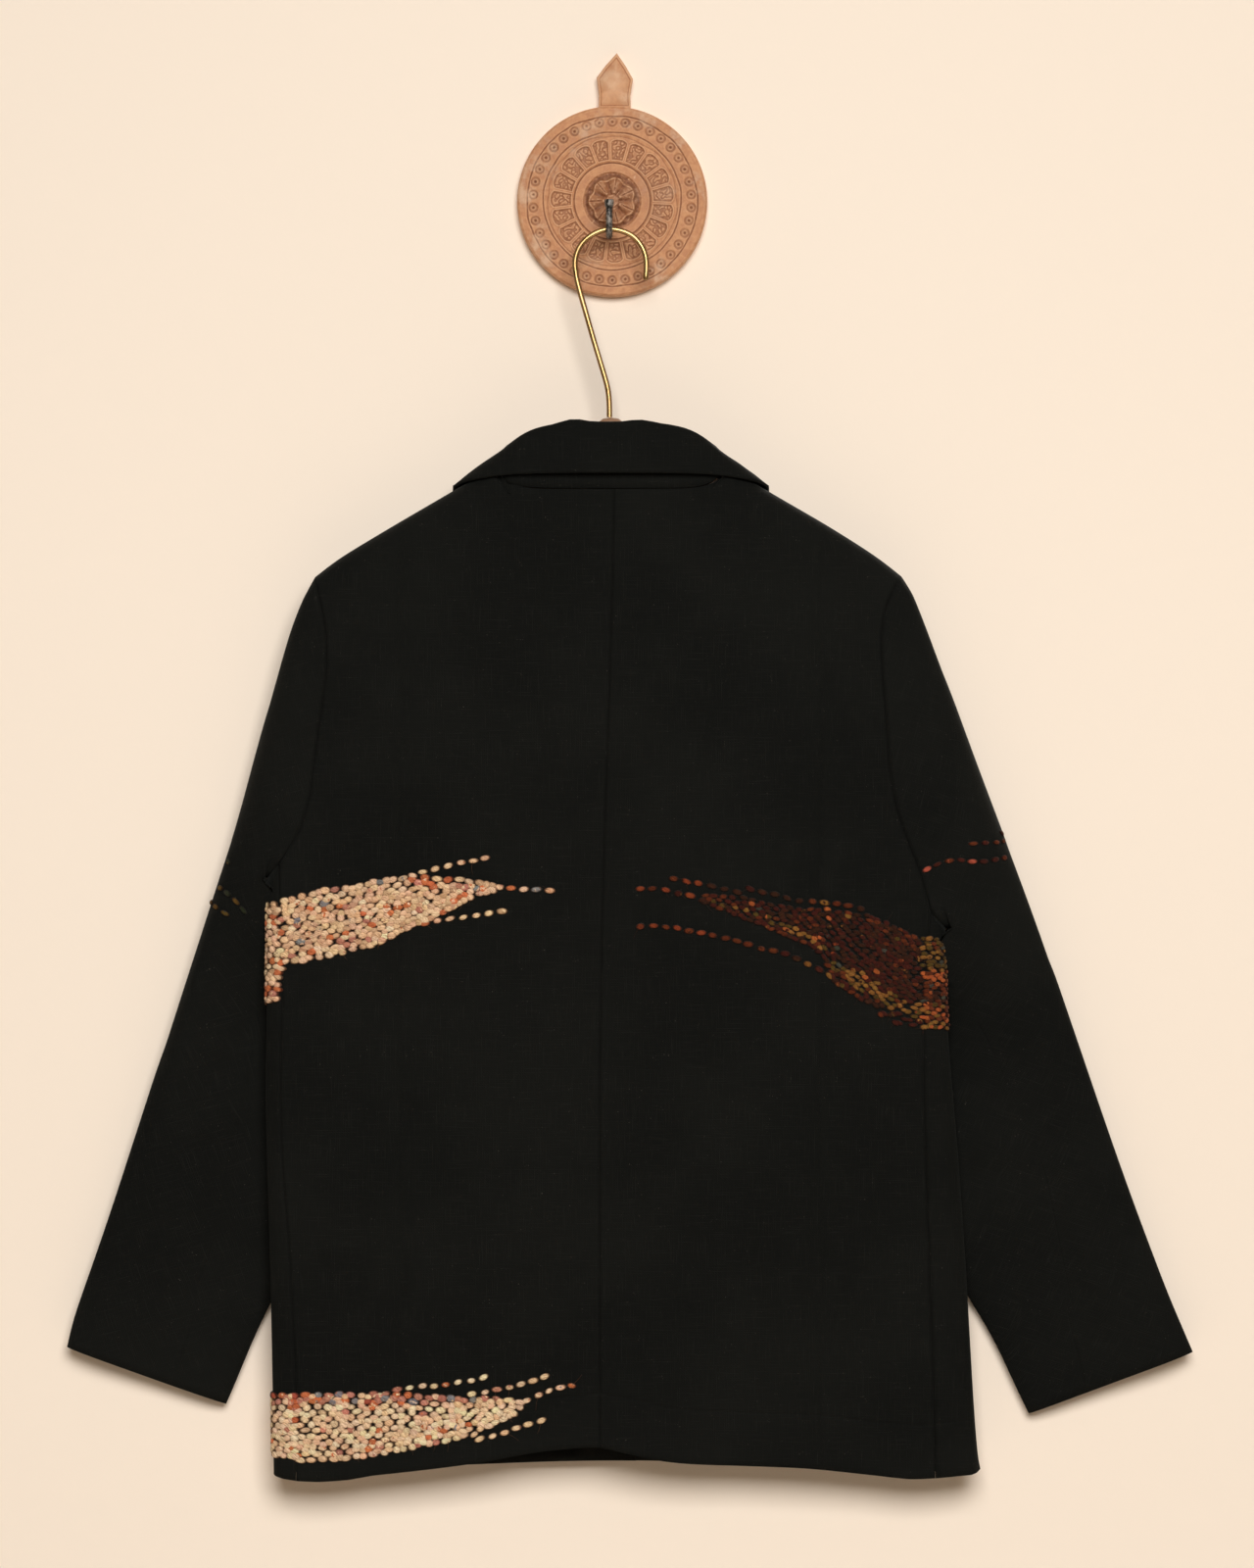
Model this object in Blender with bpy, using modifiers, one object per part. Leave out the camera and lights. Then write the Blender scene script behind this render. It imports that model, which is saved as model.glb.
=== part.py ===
"""Kantha blazer on a wooden hanger and a wall hook, seen with its back to the room.

Tables are in millimetres and vertices in metres. The origin is where the plaque's back meets
the wall, at its centre. The wall is the plane y = 0, the blazer's back faces -Y and +Z is up.
Left and right are the wearer's, so left lies at -X. "out" is a distance from x = 0 to that side.
"""
import math

import bpy
import bmesh
import numpy as np
from mathutils import Vector

MM = 0.001
CLOTH = 2.0
SEAM_GAP = 0.3
BODY_Y = -34.0
SIDE_DEPTH = 12.0
SIDE_FOLD = 18.0
RIDGE_FOLD = 14.0
QUARTER_TURN = SIDE_FOLD * math.pi / 2
NECK_OUT = 84.0
NECK_Z = -193.0
V_SLOPE = 2.95
OVERLAP = 20.0
OVERLAP_LIFT = 2.8
BAND_LIFT = 0.5
BAND_THICK = 1.6
BACK, FRONT = -1, 1

# z, back crown, front crown, centre back x
DEPTHS = [
    (-915, 5, 3, -8.1), (-750, 5, 3, -8.1), (-605, 6, 3.5, -8.1), (-480, 8, 3.5, -5.5),
    (-350, 9, 3, -1.1), (-260, 6, 2, 1.5), (-200, 3, 1, 2.5),
]
# x, half width, height, z where it starts, z where it is full: soft drape folds of the back
BACK_FOLDS = [
    (-150, 34, 1.8, -640, -860), (-60, 40, -1.5, -700, -880), (10, 46, 3.0, -760, -890),
    (94, 24, -2.0, -640, -820), (130, 22, 1.8, -600, -800), (182, 26, -2.0, -560, -760),
]

SIDES = {
    "left": {
        "sign": -1,
        # z, out: the silhouette's side fold
        "edge": [(-915, 242), (-866, 242.6), (-789, 244), (-733, 245.4), (-642, 248.2),
                 (-579, 246.8), (-530, 246.1), (-484, 246), (-200, 247)],
        # z, out: the side seam, on the back
        "seam": [(-915, 225), (-838, 225), (-783, 228.6), (-736, 230), (-678, 237),
                 (-540, 235), (-475, 237.7)],
        # out, z: the shoulder ridge from the neck to the tip
        "ridge": [(0, -142), (122.2, -213.5), (160.7, -235.9), (197.8, -258.3), (205.5, -263.9),
                  (212, -270), (217, -278), (250, -330)],
        "tip": (212, -270),
        # z, out: the armhole on the back and on the front
        "arm_back": [(-475, 237.7), (-467, 230.7), (-449, 219.5), (-424, 214.6), (-386, 210.4),
                     (-366, 206.9), (-333, 202), (-316, 200.6), (-285, 208.3), (-270, 212)],
        "arm_front": [(-470, 228), (-449, 209), (-424, 200), (-386, 194), (-350, 190),
                      (-316, 192), (-285, 204), (-270, 212)],
        "underarm_z": -485.0,
        # z of the rows along the armhole, under the four rows that round the shoulder
        "arm_rows": [-305, -335, -365, -395, -425, -450, -475],
        # out, z: the back's hem
        "hem": [(0, -891), (8.1, -891), (44.5, -894.6), (83, -901.6), (100.5, -904.4),
                (156.5, -910.7), (191.5, -914.2), (216, -915.6), (233.5, -914.2), (242, -910)],
        # z, out: the sleeve's outer edge
        "outer": [(-822.5, 391), (-803, 386.8), (-740, 364.4), (-656, 337.1), (-572, 309.8),
                  (-488, 282.5), (-446, 268.5), (-404, 257.3), (-362, 245.4), (-320, 233.5),
                  (-299, 227.2), (-278, 216.7), (-270, 212)],
        # z of the outer edge in the rows beside the armhole
        "head": [-282, -289, -308, -334, -361, -388, -415, -438],
        # under them: outer edge's z, sleeve seam's out and z, inner fold's out and z, and the
        # seam's place between the edge and the fold
        "sleeve": [
            (-456, 241, -466, 249.5, -485.5, 0.62), (-474, 248.6, -480, 250, -496, 0.62),
            (-498, 248.8, -506, 249.3, -518, 0.62), (-522, 249.5, -532, 246.5, -541, 0.62),
            (-547, 253, -561, 240, -570, 0.62), (-576, 261, -593, 228, -606, 0.6),
            (-606, 262, -630, 215, -648, 0.57), (-642, 264, -672, 207, -694, 0.56),
            (-680, 269, -708, 214, -728, 0.58), (-730, 282, -751, 231, -765, 0.61),
            (-775, 298, -795, 253, -806, 0.64), (-803, 308, -828, 267, -841, 0.66),
            (-822.5, 316, -850, 276.9, -863.8, 0.66),
        ],
    },
    "right": {
        "sign": 1,
        "edge": [(-915, 265), (-866, 260.8), (-789, 256.6), (-733, 253.1), (-663, 248.2),
                 (-628, 244), (-579, 240.8), (-530, 239.5), (-484, 240), (-200, 242)],
        "seam": [(-915, 232), (-838, 230), (-783, 228), (-720, 226), (-655, 223.7),
                 (-560, 223.7), (-510, 229)],
        "ridge": [(0, -142), (121.5, -213.5), (160.7, -235.9), (195, -258.3), (202, -263.9),
                  (208.3, -269.5), (213.2, -275.1), (250, -330)],
        "tip": (208.3, -269.5),
        "arm_back": [(-510, 229), (-495, 227.5), (-480, 221), (-453.6, 206.2), (-414.4, 198.5),
                     (-375.9, 197.1), (-345.8, 194.3), (-319, 191.5), (-292, 193), (-269.5, 208.3)],
        "arm_front": [(-506, 224), (-480, 211), (-453.6, 199), (-414.4, 190), (-375.9, 185),
                      (-345.8, 183), (-319, 185), (-292, 191), (-269.5, 208.3)],
        "underarm_z": -521.0,
        "arm_rows": [-305, -338, -372, -406, -442, -480, -510],
        "hem": [(0, -891), (16, -895), (39.6, -900.9), (53.6, -903), (67.6, -903.7),
                (148, -906.5), (188.7, -912.1), (222.3, -914.2), (262.2, -910.7)],
        "outer": [(-826, 418.3), (-803, 408.5), (-782, 399.4), (-698, 367.9), (-614, 339.2),
                  (-530, 310.5), (-488, 295.1), (-446, 279), (-404, 262.9), (-362, 247.5),
                  (-320, 231.4), (-299, 223.7), (-275, 213.2), (-269.5, 208.3)],
        "head": [-281, -288, -308, -337, -368, -399, -432, -464],
        "sleeve": [
            (-484, 236, -500, 243.8, -521.5, 0.62), (-502, 243, -515, 244.5, -532, 0.62),
            (-523, 243.4, -538, 243.6, -551, 0.62), (-544, 245, -561, 241, -573, 0.62),
            (-568, 255, -586, 233, -598, 0.56), (-596, 272, -611, 222, -630, 0.5),
            (-626, 285, -644, 208, -668, 0.43), (-668, 306.7, -681.7, 216, -706, 0.37),
            (-712, 315, -725.5, 232, -745, 0.41), (-752, 322, -766, 253, -781, 0.49),
            (-785, 329, -802, 275, -815, 0.57), (-807, 336, -832, 289, -847, 0.63),
            (-826, 340.7, -855.6, 300.7, -870.8, 0.66),
        ],
    },
}
# x, z: the hem of the closed fronts
FRONT_HEM = [(-245, -912), (-200, -911), (-120, -907), (-40, -904), (0, -903.5), (40, -904),
             (120, -907), (200, -911), (265, -911)]
# z of the rows below the armhole
LOWER_ROWS = [-535, -570, -610, -650, -700, -750, -800, -845, -880]
# vertical distance of the top rows below the shoulder ridge
RIDGE_ROWS = [0.0, 2.0, 7.0, 14.0]
# columns across a panel, as shares of the shoulder and then of the neck
SHOULDER_COLUMNS = [0, 0.12, 0.28, 0.46, 0.64, 0.82]
NECK_COLUMNS = [0, 0.12, 0.3, 0.5, 0.68, 0.84, 1.0]
# places round the side fold, as shares of the way to the side seam (-) and to the front (+)
FOLD_COLUMNS = [-1.0, -0.6, -0.28, 0.0, 0.3, 0.65]

# out, y, z of the collar's neck seam, of its rolled top, and of its falling edge
COLLAR = [
    (0, -48.1, -206.8, 0, -47.3, -160.0, 0, -55.0, -196.0),
    (32, -48.0, -206.8, 30, -47.0, -160.0, 36, -54.8, -196.0),
    (60, -47.7, -206.4, 55, -45.4, -163.6, 70, -53.0, -196.6),
    (73, -47.4, -202.8, 68, -43.0, -171.5, 92, -48.5, -199.2),
    (79.5, -44.0, -195.6, 73, -39.0, -175.5, 104, -41.5, -201.2),
    (81.5, -34.0, -189.6, 76, -34.0, -177.0, 109.5, -34.5, -203.0),
    (80.5, -28.5, -191.6, 77, -28.0, -179.5, 112.8, -25.5, -204.6),
    (77, -23.0, -199.0, 76.5, -21.0, -186.0, 114, -17.5, -214.0),
    (69, -19.0, -222.0, 73, -15.0, -210.0, 113, -14.6, -238.0),
    (61.5, -18.0, -246.0, 66, -14.6, -239.0, 101, -15.0, -262.0),
]
# roll line's z, then out and z of the outer edge of the turned-back lapel
LAPEL = [
    (-256, 106, -272), (-276, 121, -286), (-316, 110, -322), (-356, 92, -360),
    (-396, 66, -399), (-428, 36, -430), (-452, 18, -453), (-476, 4, -477), (-492, -8, -493),
]
LAPEL_ROWS = {"left": 6, "right": 9}

# x, top z, bottom z of each yarn band
BANDS = {
    "band_back_mid_left": (BACK, [
        (-234.4, -499, -550), (-226.5, -497.7, -546), (-199.5, -491.4, -541.8),
        (-171, -486.5, -534.8), (-143.5, -481.6, -522.9), (-129, -484, -516.6),
        (-105, -484.4, -503), (-84, -487.9, -495.6), (-74, -490, -494)]),
    "band_back_low_left": (BACK, [
        (-224.2, -852.6, -902.3), (-200, -852.6, -902), (-178, -852, -899),
        (-156.5, -850.8, -896), (-135.5, -852, -891.8), (-117, -853, -887.6),
        (-98.4, -854, -883), (-81, -853, -875), (-62, -855, -862.4), (-52, -856, -859.5)]),
    "band_back_mid_right": (BACK, [
        (60, -497.5, -501), (80, -498, -509), (106, -500.5, -521), (130, -504, -530),
        (150, -506, -540), (164, -507, -560), (178, -508.8, -571), (194, -514, -583),
        (210, -522.8, -591), (223, -529, -592.6)]),
    "band_front_mid_left": (FRONT, [
        (-92, -545, -556), (-110, -537, -566), (-135, -528, -577), (-165, -520, -583),
        (-195, -512, -585), (-226, -506, -583)]),
    "band_front_low_left": (FRONT, [
        (-75, -872, -878), (-90, -868, -882), (-120, -862, -890), (-155, -858, -896),
        (-190, -855, -899), (-222, -853.4, -900)]),
    "band_front_mid_right": (FRONT, [
        (98, -560, -570), (115, -553, -582), (140, -545, -592), (165, -538, -598),
        (195, -533, -600), (221, -530, -598)]),
}
# z of the top and bottom of each front band where it rounds the side fold
BAND_WRAPS = {
    "band_front_mid_left": (-500.5, -580.0),
    "band_front_low_left": (-852.8, -900.5),
    "band_front_mid_right": (-530.0, -595.0),
}
BAND_ROWS = 5

BUTTON_ROWS = [-540.0, -640.0]
BUTTON_RADIUS = 11.0
BUTTON_THICK = 3.0

# the hanging sleeve's middle and half depth: z spans over which it moves towards the wall
# and narrows, the moves themselves, and how soon the inner fold's values take over
HANG_START, HANG_SPAN, HANG_MOVE = 270.0, 200.0, 14.0
CUFF_START, CUFF_SPAN, CUFF_MOVE = 480.0, 340.0, 4.5
TUCK_SPAN, TUCK_MOVE = 75.0, 24.3
OUTER_DEPTH, INNER_DEPTH, TUCK_NARROWING = 14.0, 11.0, 3.4
INNER_BLEND = 1.3
# gaps where the sleeve starts from the armhole and at the underarm
ARMHOLE_GAP = SEAM_GAP + 0.1
UNDERARM_GAP = SEAM_GAP + 0.3
# shares of the way from a sleeve's outer edge to its seams, and on to its inner fold
UPPER_SHARES = [0.0, 0.034, 0.134, 0.293, 0.5, 0.741, 1.0]
UNDER_SHARES = [0.0, 0.383, 0.707, 0.924, 1.0]
# columns of the sleeve's open rows, and the agreement under which a panel's normal isn't used
UPPER_COUNT = 2 * len(UPPER_SHARES) - 1
PANEL_AGREES = 0.3
WIRE_RADIUS = 2.0
WALL_HOOK_RADIUS = 2.5
# x, z of the hanger's wire, from its free tip over the wall hook and down to the neck
WIRE_ROUTE = [
    (24.9, -57.1), (25.2, -42), (20.8, -31.0), (12.3, -23.6), (-1.2, -20.6), (-13.7, -24.8),
    (-22.1, -32.9), (-25.6, -42.7), (-24.9, -53.9), (-22.1, -65.8), (-17.9, -80.5),
    (-12.3, -100.1), (-6, -121.1), (-2.5, -133.7), (-1.2, -144.2), (-1.0, -155.3),
]
# y, z of the iron hook, from the plaque's face to its free tip
WALL_HOOK_ROUTE = [
    (-15.4, -9.0), (-19.5, -9.0), (-23.6, -11.5), (-25.6, -16.5), (-27.6, -21.2), (-31.0, -24.6),
    (-34.4, -25.5), (-38.6, -23.8), (-41.4, -19.5), (-42.4, -13), (-42.4, -5), (-42.3, 0.0),
]
# x, z of the wooden hanger's outline, right half from the neck's top down and back
HANGER_HALF = [
    (0, -155.6), (5.5, -156.4), (9.5, -159.4), (12, -165), (17, -174), (30, -185), (58, -195),
    (84, -201), (104, -209.1), (122, -217.4), (160, -239.6), (192, -260.2), (198, -268), (196, -277),
    (189, -281), (160, -266), (110, -240), (60, -222), (24, -212), (0, -209),
]
HANGER_HALF_THICK = 5.5
PLAQUE_CENTRE = (0.9, 1.4)
# radius, height of the plaque's turned face, from its rim to its centre
PLAQUE_PROFILE = [
    (68.5, 0.0), (68.5, 9.0), (66.5, 11.0), (62.5, 11.4), (61.0, 10.2), (53.0, 10.2), (51.5, 11.8),
    (48.5, 11.8), (47.0, 10.4), (29.0, 10.8), (27.5, 12.6), (18.0, 12.8), (16.5, 14.6),
    (8.0, 15.0), (0.0, 15.0),
]
# x, z of the pointed finial above the plaque
FINIAL = [(-8.9, 70.2), (-8.6, 78), (-10.2, 90.7), (-4.0, 99), (4.2, 108.2), (10.5, 99),
          (15.8, 89.6), (13.9, 78), (14.2, 70.2)]
FINIAL_DEPTH = 9.0


def look_up(table, at, key=0, value=1):
    """Linear reading of one named column of a table at a place in its key column."""
    rows = sorted(table, key=lambda row: row[key])
    return float(np.interp(at, [row[key] for row in rows], [row[value] for row in rows]))


def round_off(distance, radius):
    """1 away from a folded edge, falling to 0 at it along a quarter ellipse."""
    t = min(max(distance / radius, 0.0), 1.0)
    return math.sqrt(1.0 - (1.0 - t) ** 2)


def smooth(t):
    t = min(max(t, 0.0), 1.0)
    return t * t * (3.0 - 2.0 * t)


def drape(x, z):
    """Height of the back's soft vertical folds."""
    height = 0.0
    for centre, half_width, size, start, full in BACK_FOLDS:
        across = abs(x - centre) / half_width
        if across < 1.0:
            height += size * (0.5 + 0.5 * math.cos(math.pi * across)) * smooth((start - z) / (start - full))
    return height


def half_depth(side, out, z, face):
    """Distance from the body's middle plane to its cloth, without the side fold."""
    edge = look_up(side["edge"], z)
    crown = look_up(DEPTHS, z, 0, 1 if face == BACK else 2)
    bulge = math.cos(0.5 * math.pi * min(abs(out) / edge, 1.0)) ** 2
    below_ridge = look_up(side["ridge"], abs(out)) - z
    depth = SIDE_DEPTH + crown * bulge
    if face == BACK:
        depth += drape(side["sign"] * out, z)
    return depth * round_off(below_ridge, RIDGE_FOLD)


def body_point(side, wrap, z):
    """A point of the body's outer face: wrap runs from the back (-) round the side fold (0)."""
    edge = look_up(side["edge"], z)
    if abs(wrap) < QUARTER_TURN:
        turn = wrap / SIDE_FOLD
        out = edge - SIDE_FOLD * (1.0 - math.cos(turn))
        reach = math.sin(turn)
    else:
        out = edge - SIDE_FOLD - (abs(wrap) - QUARTER_TURN)
        reach = math.copysign(1.0, wrap)
    face = FRONT if wrap > 0 else BACK
    return Vector((side["sign"] * out, BODY_Y + reach * half_depth(side, out, z, face), z))


def wrap_at(side, out, z, face):
    """The wrap of a place that lies this far out on one face."""
    inside = look_up(side["edge"], z) - out
    if inside >= SIDE_FOLD:
        return face * (QUARTER_TURN + inside - SIDE_FOLD)
    return face * SIDE_FOLD * math.acos(1.0 - max(inside, 0.0) / SIDE_FOLD)


def body_normal(side, wrap, z):
    """Outward normal of the body's face, from points close by."""
    step = 0.4
    across = body_point(side, wrap + step, z) - body_point(side, wrap - step, z)
    down = body_point(side, wrap, z - step) - body_point(side, wrap, z + step)
    if down.length < 1e-6 or across.length < 1e-6:
        return Vector((0, 0, 1))
    return (down.cross(across) * side["sign"]).normalized()


def neck_front_out(z):
    """How far out the front's V neck lies at a height."""
    return NECK_OUT - (NECK_Z - z) / V_SLOPE


def paint(obj, colour, roughness, metallic=0.0):
    material = bpy.data.materials.new(obj.name)
    material.use_nodes = True
    shader = material.node_tree.nodes["Principled BSDF"]
    shader.inputs["Base Color"].default_value = (*colour, 1.0)
    shader.inputs["Roughness"].default_value = roughness
    shader.inputs["Metallic"].default_value = metallic
    obj.data.materials.append(material)


def shell(name, points, normals, thick, colour, ring=False):
    """A closed wall from a grid of outer points, with gaps where a point is None."""
    mesh = bmesh.new()
    outer, inner = [], []
    for row, row_normals in zip(points, normals):
        outer.append([mesh.verts.new(p * MM) if p else None for p in row])
        inner.append([mesh.verts.new((p - n * thick) * MM) if p else None
                      for p, n in zip(row, row_normals)])
    columns = len(points[0])
    cells = []
    for i in range(len(points) - 1):
        for j in range(columns if ring else columns - 1):
            corners = [(i, j), (i + 1, j), (i + 1, (j + 1) % columns), (i, (j + 1) % columns)]
            if all(points[a][b] for a, b in corners):
                cells.append(corners)
    facing = 0.0
    for corners in cells:
        p = [points[a][b] for a, b in corners]
        facing += (p[2] - p[0]).cross(p[3] - p[1]).dot(normals[corners[0][0]][corners[0][1]])
    if facing < 0:
        cells = [corners[::-1] for corners in cells]
    edges = {(corners[k], corners[(k + 1) % 4]) for corners in cells for k in range(4)}
    for corners in cells:
        mesh.faces.new([outer[a][b] for a, b in corners])
        mesh.faces.new([inner[a][b] for a, b in reversed(corners)])
    for first, second in sorted(edges):
        if (second, first) in edges:
            continue
        (a, b), (c, d) = sorted((first, second))
        near = [outer[c][d], outer[a][b], inner[c][d]]
        far = [outer[a][b], inner[a][b], inner[c][d]]
        for corners in (near, far):
            mesh.faces.new(corners if first < second else corners[::-1])
    data = bpy.data.meshes.new(name)
    mesh.to_mesh(data)
    mesh.free()
    data.shade_smooth()
    obj = bpy.data.objects.new(name, data)
    PARTS.objects.link(obj)
    paint(obj, colour, 0.9)
    return obj


def panel_rows(side, arm_table):
    """The z and out of a panel's outer boundary for each row, from the shoulder tip to the hem."""
    tip_z = side["tip"][1]
    rows = [(tip_z - drop, look_up(arm_table, tip_z - drop)) for drop in RIDGE_ROWS]
    rows += [(z, look_up(arm_table, z)) for z in side["arm_rows"]]
    floor = side["arm_rows"][-1]
    rows += [(z, look_up(side["seam"], z)) for z in LOWER_ROWS if z < floor - 15]
    return rows


def back_panel(side_name):
    side = SIDES[side_name]
    sign = side["sign"]
    rows = panel_rows(side, side["arm_back"])
    hem_out = look_up(side["seam"], -912)
    rows.append((look_up(side["hem"], hem_out), hem_out))
    top = [(0, -207.2), (62, -207.0), (74, -203.4), (NECK_OUT, NECK_Z + 1.6)]
    points, normals = [], []
    last = len(rows) - 1
    tip_out = side["tip"][0]
    neck_centre = sign * look_up(DEPTHS, -210, 0, 3)
    for index, (row_z, row_out) in enumerate(rows):
        line, line_normals = [], []
        for part in across_panel(side, neck_centre):
            top_out = tip_out + (neck_centre - tip_out) * part
            if top_out > NECK_OUT - 0.1:
                top_z = look_up(side["ridge"], top_out)
            else:
                top_z = look_up(top, top_out)
            if index < len(RIDGE_ROWS):
                z = top_z - RIDGE_ROWS[index]
            else:
                start = top_z - RIDGE_ROWS[-1]
                first = rows[len(RIDGE_ROWS) - 1][0]
                share = (first - row_z) / (first - rows[last][0])
                hem_here = look_up(side["hem"], hem_out * (1.0 - part))
                z = start + (hem_here - start) * share
            centre = sign * look_up(DEPTHS, z, 0, 3) + SEAM_GAP / 2
            out = row_out + (centre - row_out) * part
            below = index >= len(RIDGE_ROWS) + len(side["arm_rows"]) - 1
            wrap = wrap_at(side, out, z, BACK) - (SEAM_GAP / 2 if part == 0 and below else 0)
            point = body_point(side, wrap, z)
            normal = body_normal(side, wrap, z)
            if index == 0:
                point.y = min(point.y, BODY_Y - SEAM_GAP / 2)
                if top_out > NECK_OUT - 0.1:
                    normal = ridge_normal(side, out)
            line.append(point)
            line_normals.append(normal)
        points.append(line)
        normals.append(line_normals)
    shell(f"back_{side_name}", points, normals, CLOTH, WOOL)
    boundary = [(points[i][0], normals[i][0]) for i in range(len(RIDGE_ROWS) + len(side["arm_rows"]))]
    return boundary


def ridge_normal(side, out):
    """Upward normal along the shoulder ridge."""
    rise = look_up(side["ridge"], out - 3.0) - look_up(side["ridge"], out + 3.0)
    return Vector((side["sign"] * rise, 0.0, 6.0)).normalized()


def lift_of(side_name, out):
    """The right front lies over the left one at the centre."""
    if side_name == "left":
        return 0.0
    return OVERLAP_LIFT * smooth((OVERLAP + 40.0 - out) / 38.0)


def across_panel(side, centre):
    """Shares of the way from the armhole to the centre, with one column at the neck's corner."""
    tip_out = side["tip"][0]
    corner = (tip_out - NECK_OUT) / (tip_out - centre)
    return ([share * corner for share in SHOULDER_COLUMNS]
            + [corner + share * (1.0 - corner) for share in NECK_COLUMNS])


def fold_wraps(seam_wrap):
    """The wraps round the side fold, from the side seam to where the front lies flat."""
    return [-seam_wrap * share if share < 0 else QUARTER_TURN * share for share in FOLD_COLUMNS]


def front_panel(side_name):
    side = SIDES[side_name]
    arm_table = side["arm_front"]
    rows = panel_rows(side, arm_table)
    arm_count = len(RIDGE_ROWS) + len(side["arm_rows"])
    hem_out = look_up(side["seam"], -912)
    rows.append((look_up(FRONT_HEM, side["sign"] * hem_out), hem_out))
    under_row = arm_count - 1
    centre = -OVERLAP if side_name == "right" else -OVERLAP + 2.0
    tip_out = side["tip"][0]
    points, normals = [], []
    for index, (row_z, seam_out) in enumerate(rows):
        line, line_normals = [], []
        if index < under_row:
            line += [None] * len(FOLD_COLUMNS)
            line_normals += [None] * len(FOLD_COLUMNS)
        else:
            seam_wrap = wrap_at(side, look_up(side["seam"], row_z), row_z, BACK) + SEAM_GAP / 2
            for share, wrap in zip(FOLD_COLUMNS, fold_wraps(seam_wrap)):
                z = row_z
                if index == under_row:
                    z += (side["underarm_z"] - row_z) * (1.0 - share * share)
                line.append(body_point(side, wrap, z))
                line_normals.append(body_normal(side, wrap, z))
        start_out = look_up(arm_table, row_z)
        start_z = row_z + (4.0 if index == under_row else 0.0)
        if index > under_row:
            start_out = look_up(side["edge"], row_z) - SIDE_FOLD
        for part in across_panel(side, centre):
            top_out = tip_out + (centre - tip_out) * part
            if top_out > NECK_OUT + 0.1:
                top_z = look_up(side["ridge"], top_out)
            else:
                top_z = NECK_Z - (NECK_OUT - top_out) * V_SLOPE
            if index < len(RIDGE_ROWS):
                z = top_z - RIDGE_ROWS[index]
            else:
                start = top_z - RIDGE_ROWS[-1]
                first = rows[len(RIDGE_ROWS) - 1][0]
                share = (first - start_z) / (first - rows[-1][0])
                hem_here = look_up(FRONT_HEM, side["sign"] * (start_out + (centre - start_out) * part))
                z = start + (hem_here - start) * share
            out = start_out + (centre - start_out) * part
            wrap = wrap_at(side, out, z, FRONT)
            point = body_point(side, wrap, z)
            normal = body_normal(side, wrap, z)
            point.y += lift_of(side_name, out)
            if index == 0:
                point.y = max(point.y, BODY_Y + SEAM_GAP / 2)
                if top_out > NECK_OUT + 0.1:
                    normal = ridge_normal(side, out)
            line.append(point)
            line_normals.append(normal)
        points.append(line)
        normals.append(line_normals)
    shell(f"front_{side_name}", points, normals, CLOTH, WOOL)
    corner = len(FOLD_COLUMNS)
    under = [(points[under_row][j], normals[under_row][j]) for j in range(1, corner)]
    armhole = [(points[i][corner], normals[i][corner]) for i in range(under_row, -1, -1)]
    return under + armhole


def sleeve_point(side, out, z, place, half):
    """A point of a hanging sleeve; place runs from its outer edge to its inner fold."""
    cuff = smooth((-z - CUFF_START) / CUFF_SPAN)
    tuck = smooth((side["underarm_z"] - z) / TUCK_SPAN)
    outer_y = BODY_Y + HANG_MOVE * smooth((-z - HANG_START) / HANG_SPAN) + CUFF_MOVE * cuff
    inner_y = BODY_Y + TUCK_MOVE * tuck
    blend = smooth(place * INNER_BLEND)
    middle = outer_y + (inner_y - outer_y) * blend
    depth_outer = OUTER_DEPTH - CUFF_MOVE * cuff
    depth_inner = INNER_DEPTH - TUCK_NARROWING * tuck
    depth = depth_outer + (depth_inner - depth_outer) * blend
    y = middle + half * depth * (1.0 - abs(2.0 * place - 1.0) ** 4) ** 0.5
    return Vector((side["sign"] * out, y, z))


def head_row(side, back, edge_z, front):
    """A sleeve's row beside the armhole, from its back point round the outer edge to its front point."""
    edge = sleeve_point(side, look_up(side["outer"], edge_z), edge_z, 0.0, 0)
    halves = []
    for end in (back, front):
        line = []
        for share in UPPER_SHARES:
            point = edge.lerp(end, share)
            point.y = edge.y + (end.y - edge.y) * (1.0 - (1.0 - share) ** 4) ** 0.5
            line.append(point)
        halves.append(line)
    return halves[0][:0:-1] + [edge] + halves[1][1:]


def hanging_ring(side, row):
    """A sleeve's whole ring: the upper's columns, then the under's from the front seam to the back one."""
    edge_z, seam_out, seam_z, fold_out, fold_z, mark = row
    edge_out = look_up(side["outer"], edge_z)
    halves = []
    for half in (-1, 1):
        line = []
        for share in UPPER_SHARES:
            line.append(sleeve_point(side, edge_out + (seam_out - edge_out) * share,
                                     edge_z + (seam_z - edge_z) * share, mark * share, half))
        for share in UNDER_SHARES[1:]:
            line.append(sleeve_point(side, seam_out + (fold_out - seam_out) * share,
                                     seam_z + (fold_z - seam_z) * share,
                                     mark + (1.0 - mark) * share, half))
        halves.append(line)
    back, front = halves
    seam = len(UPPER_SHARES) - 1
    return back[seam:0:-1] + front + back[-2:seam:-1]


def sleeve_rows(side, loop):
    """Open rows beside the armhole, then one that also has the underarm, then whole rings."""
    head_count = len(side["head"])
    halves = [[loop[0][0].lerp(end[0], share) for share in UPPER_SHARES] for end in (loop[1], loop[-1])]
    rows = [halves[0][:0:-1] + halves[1]]
    for k, edge_z in enumerate(side["head"], 1):
        rows.append(head_row(side, loop[k + 1][0], edge_z, loop[-k - 1][0]))
    under_arm = [p for p, _ in loop[head_count + 2:-head_count - 1]]
    rows[-1] = rows[-1] + under_arm[::-1]
    return rows + [hanging_ring(side, row) for row in side["sleeve"]]


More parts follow.
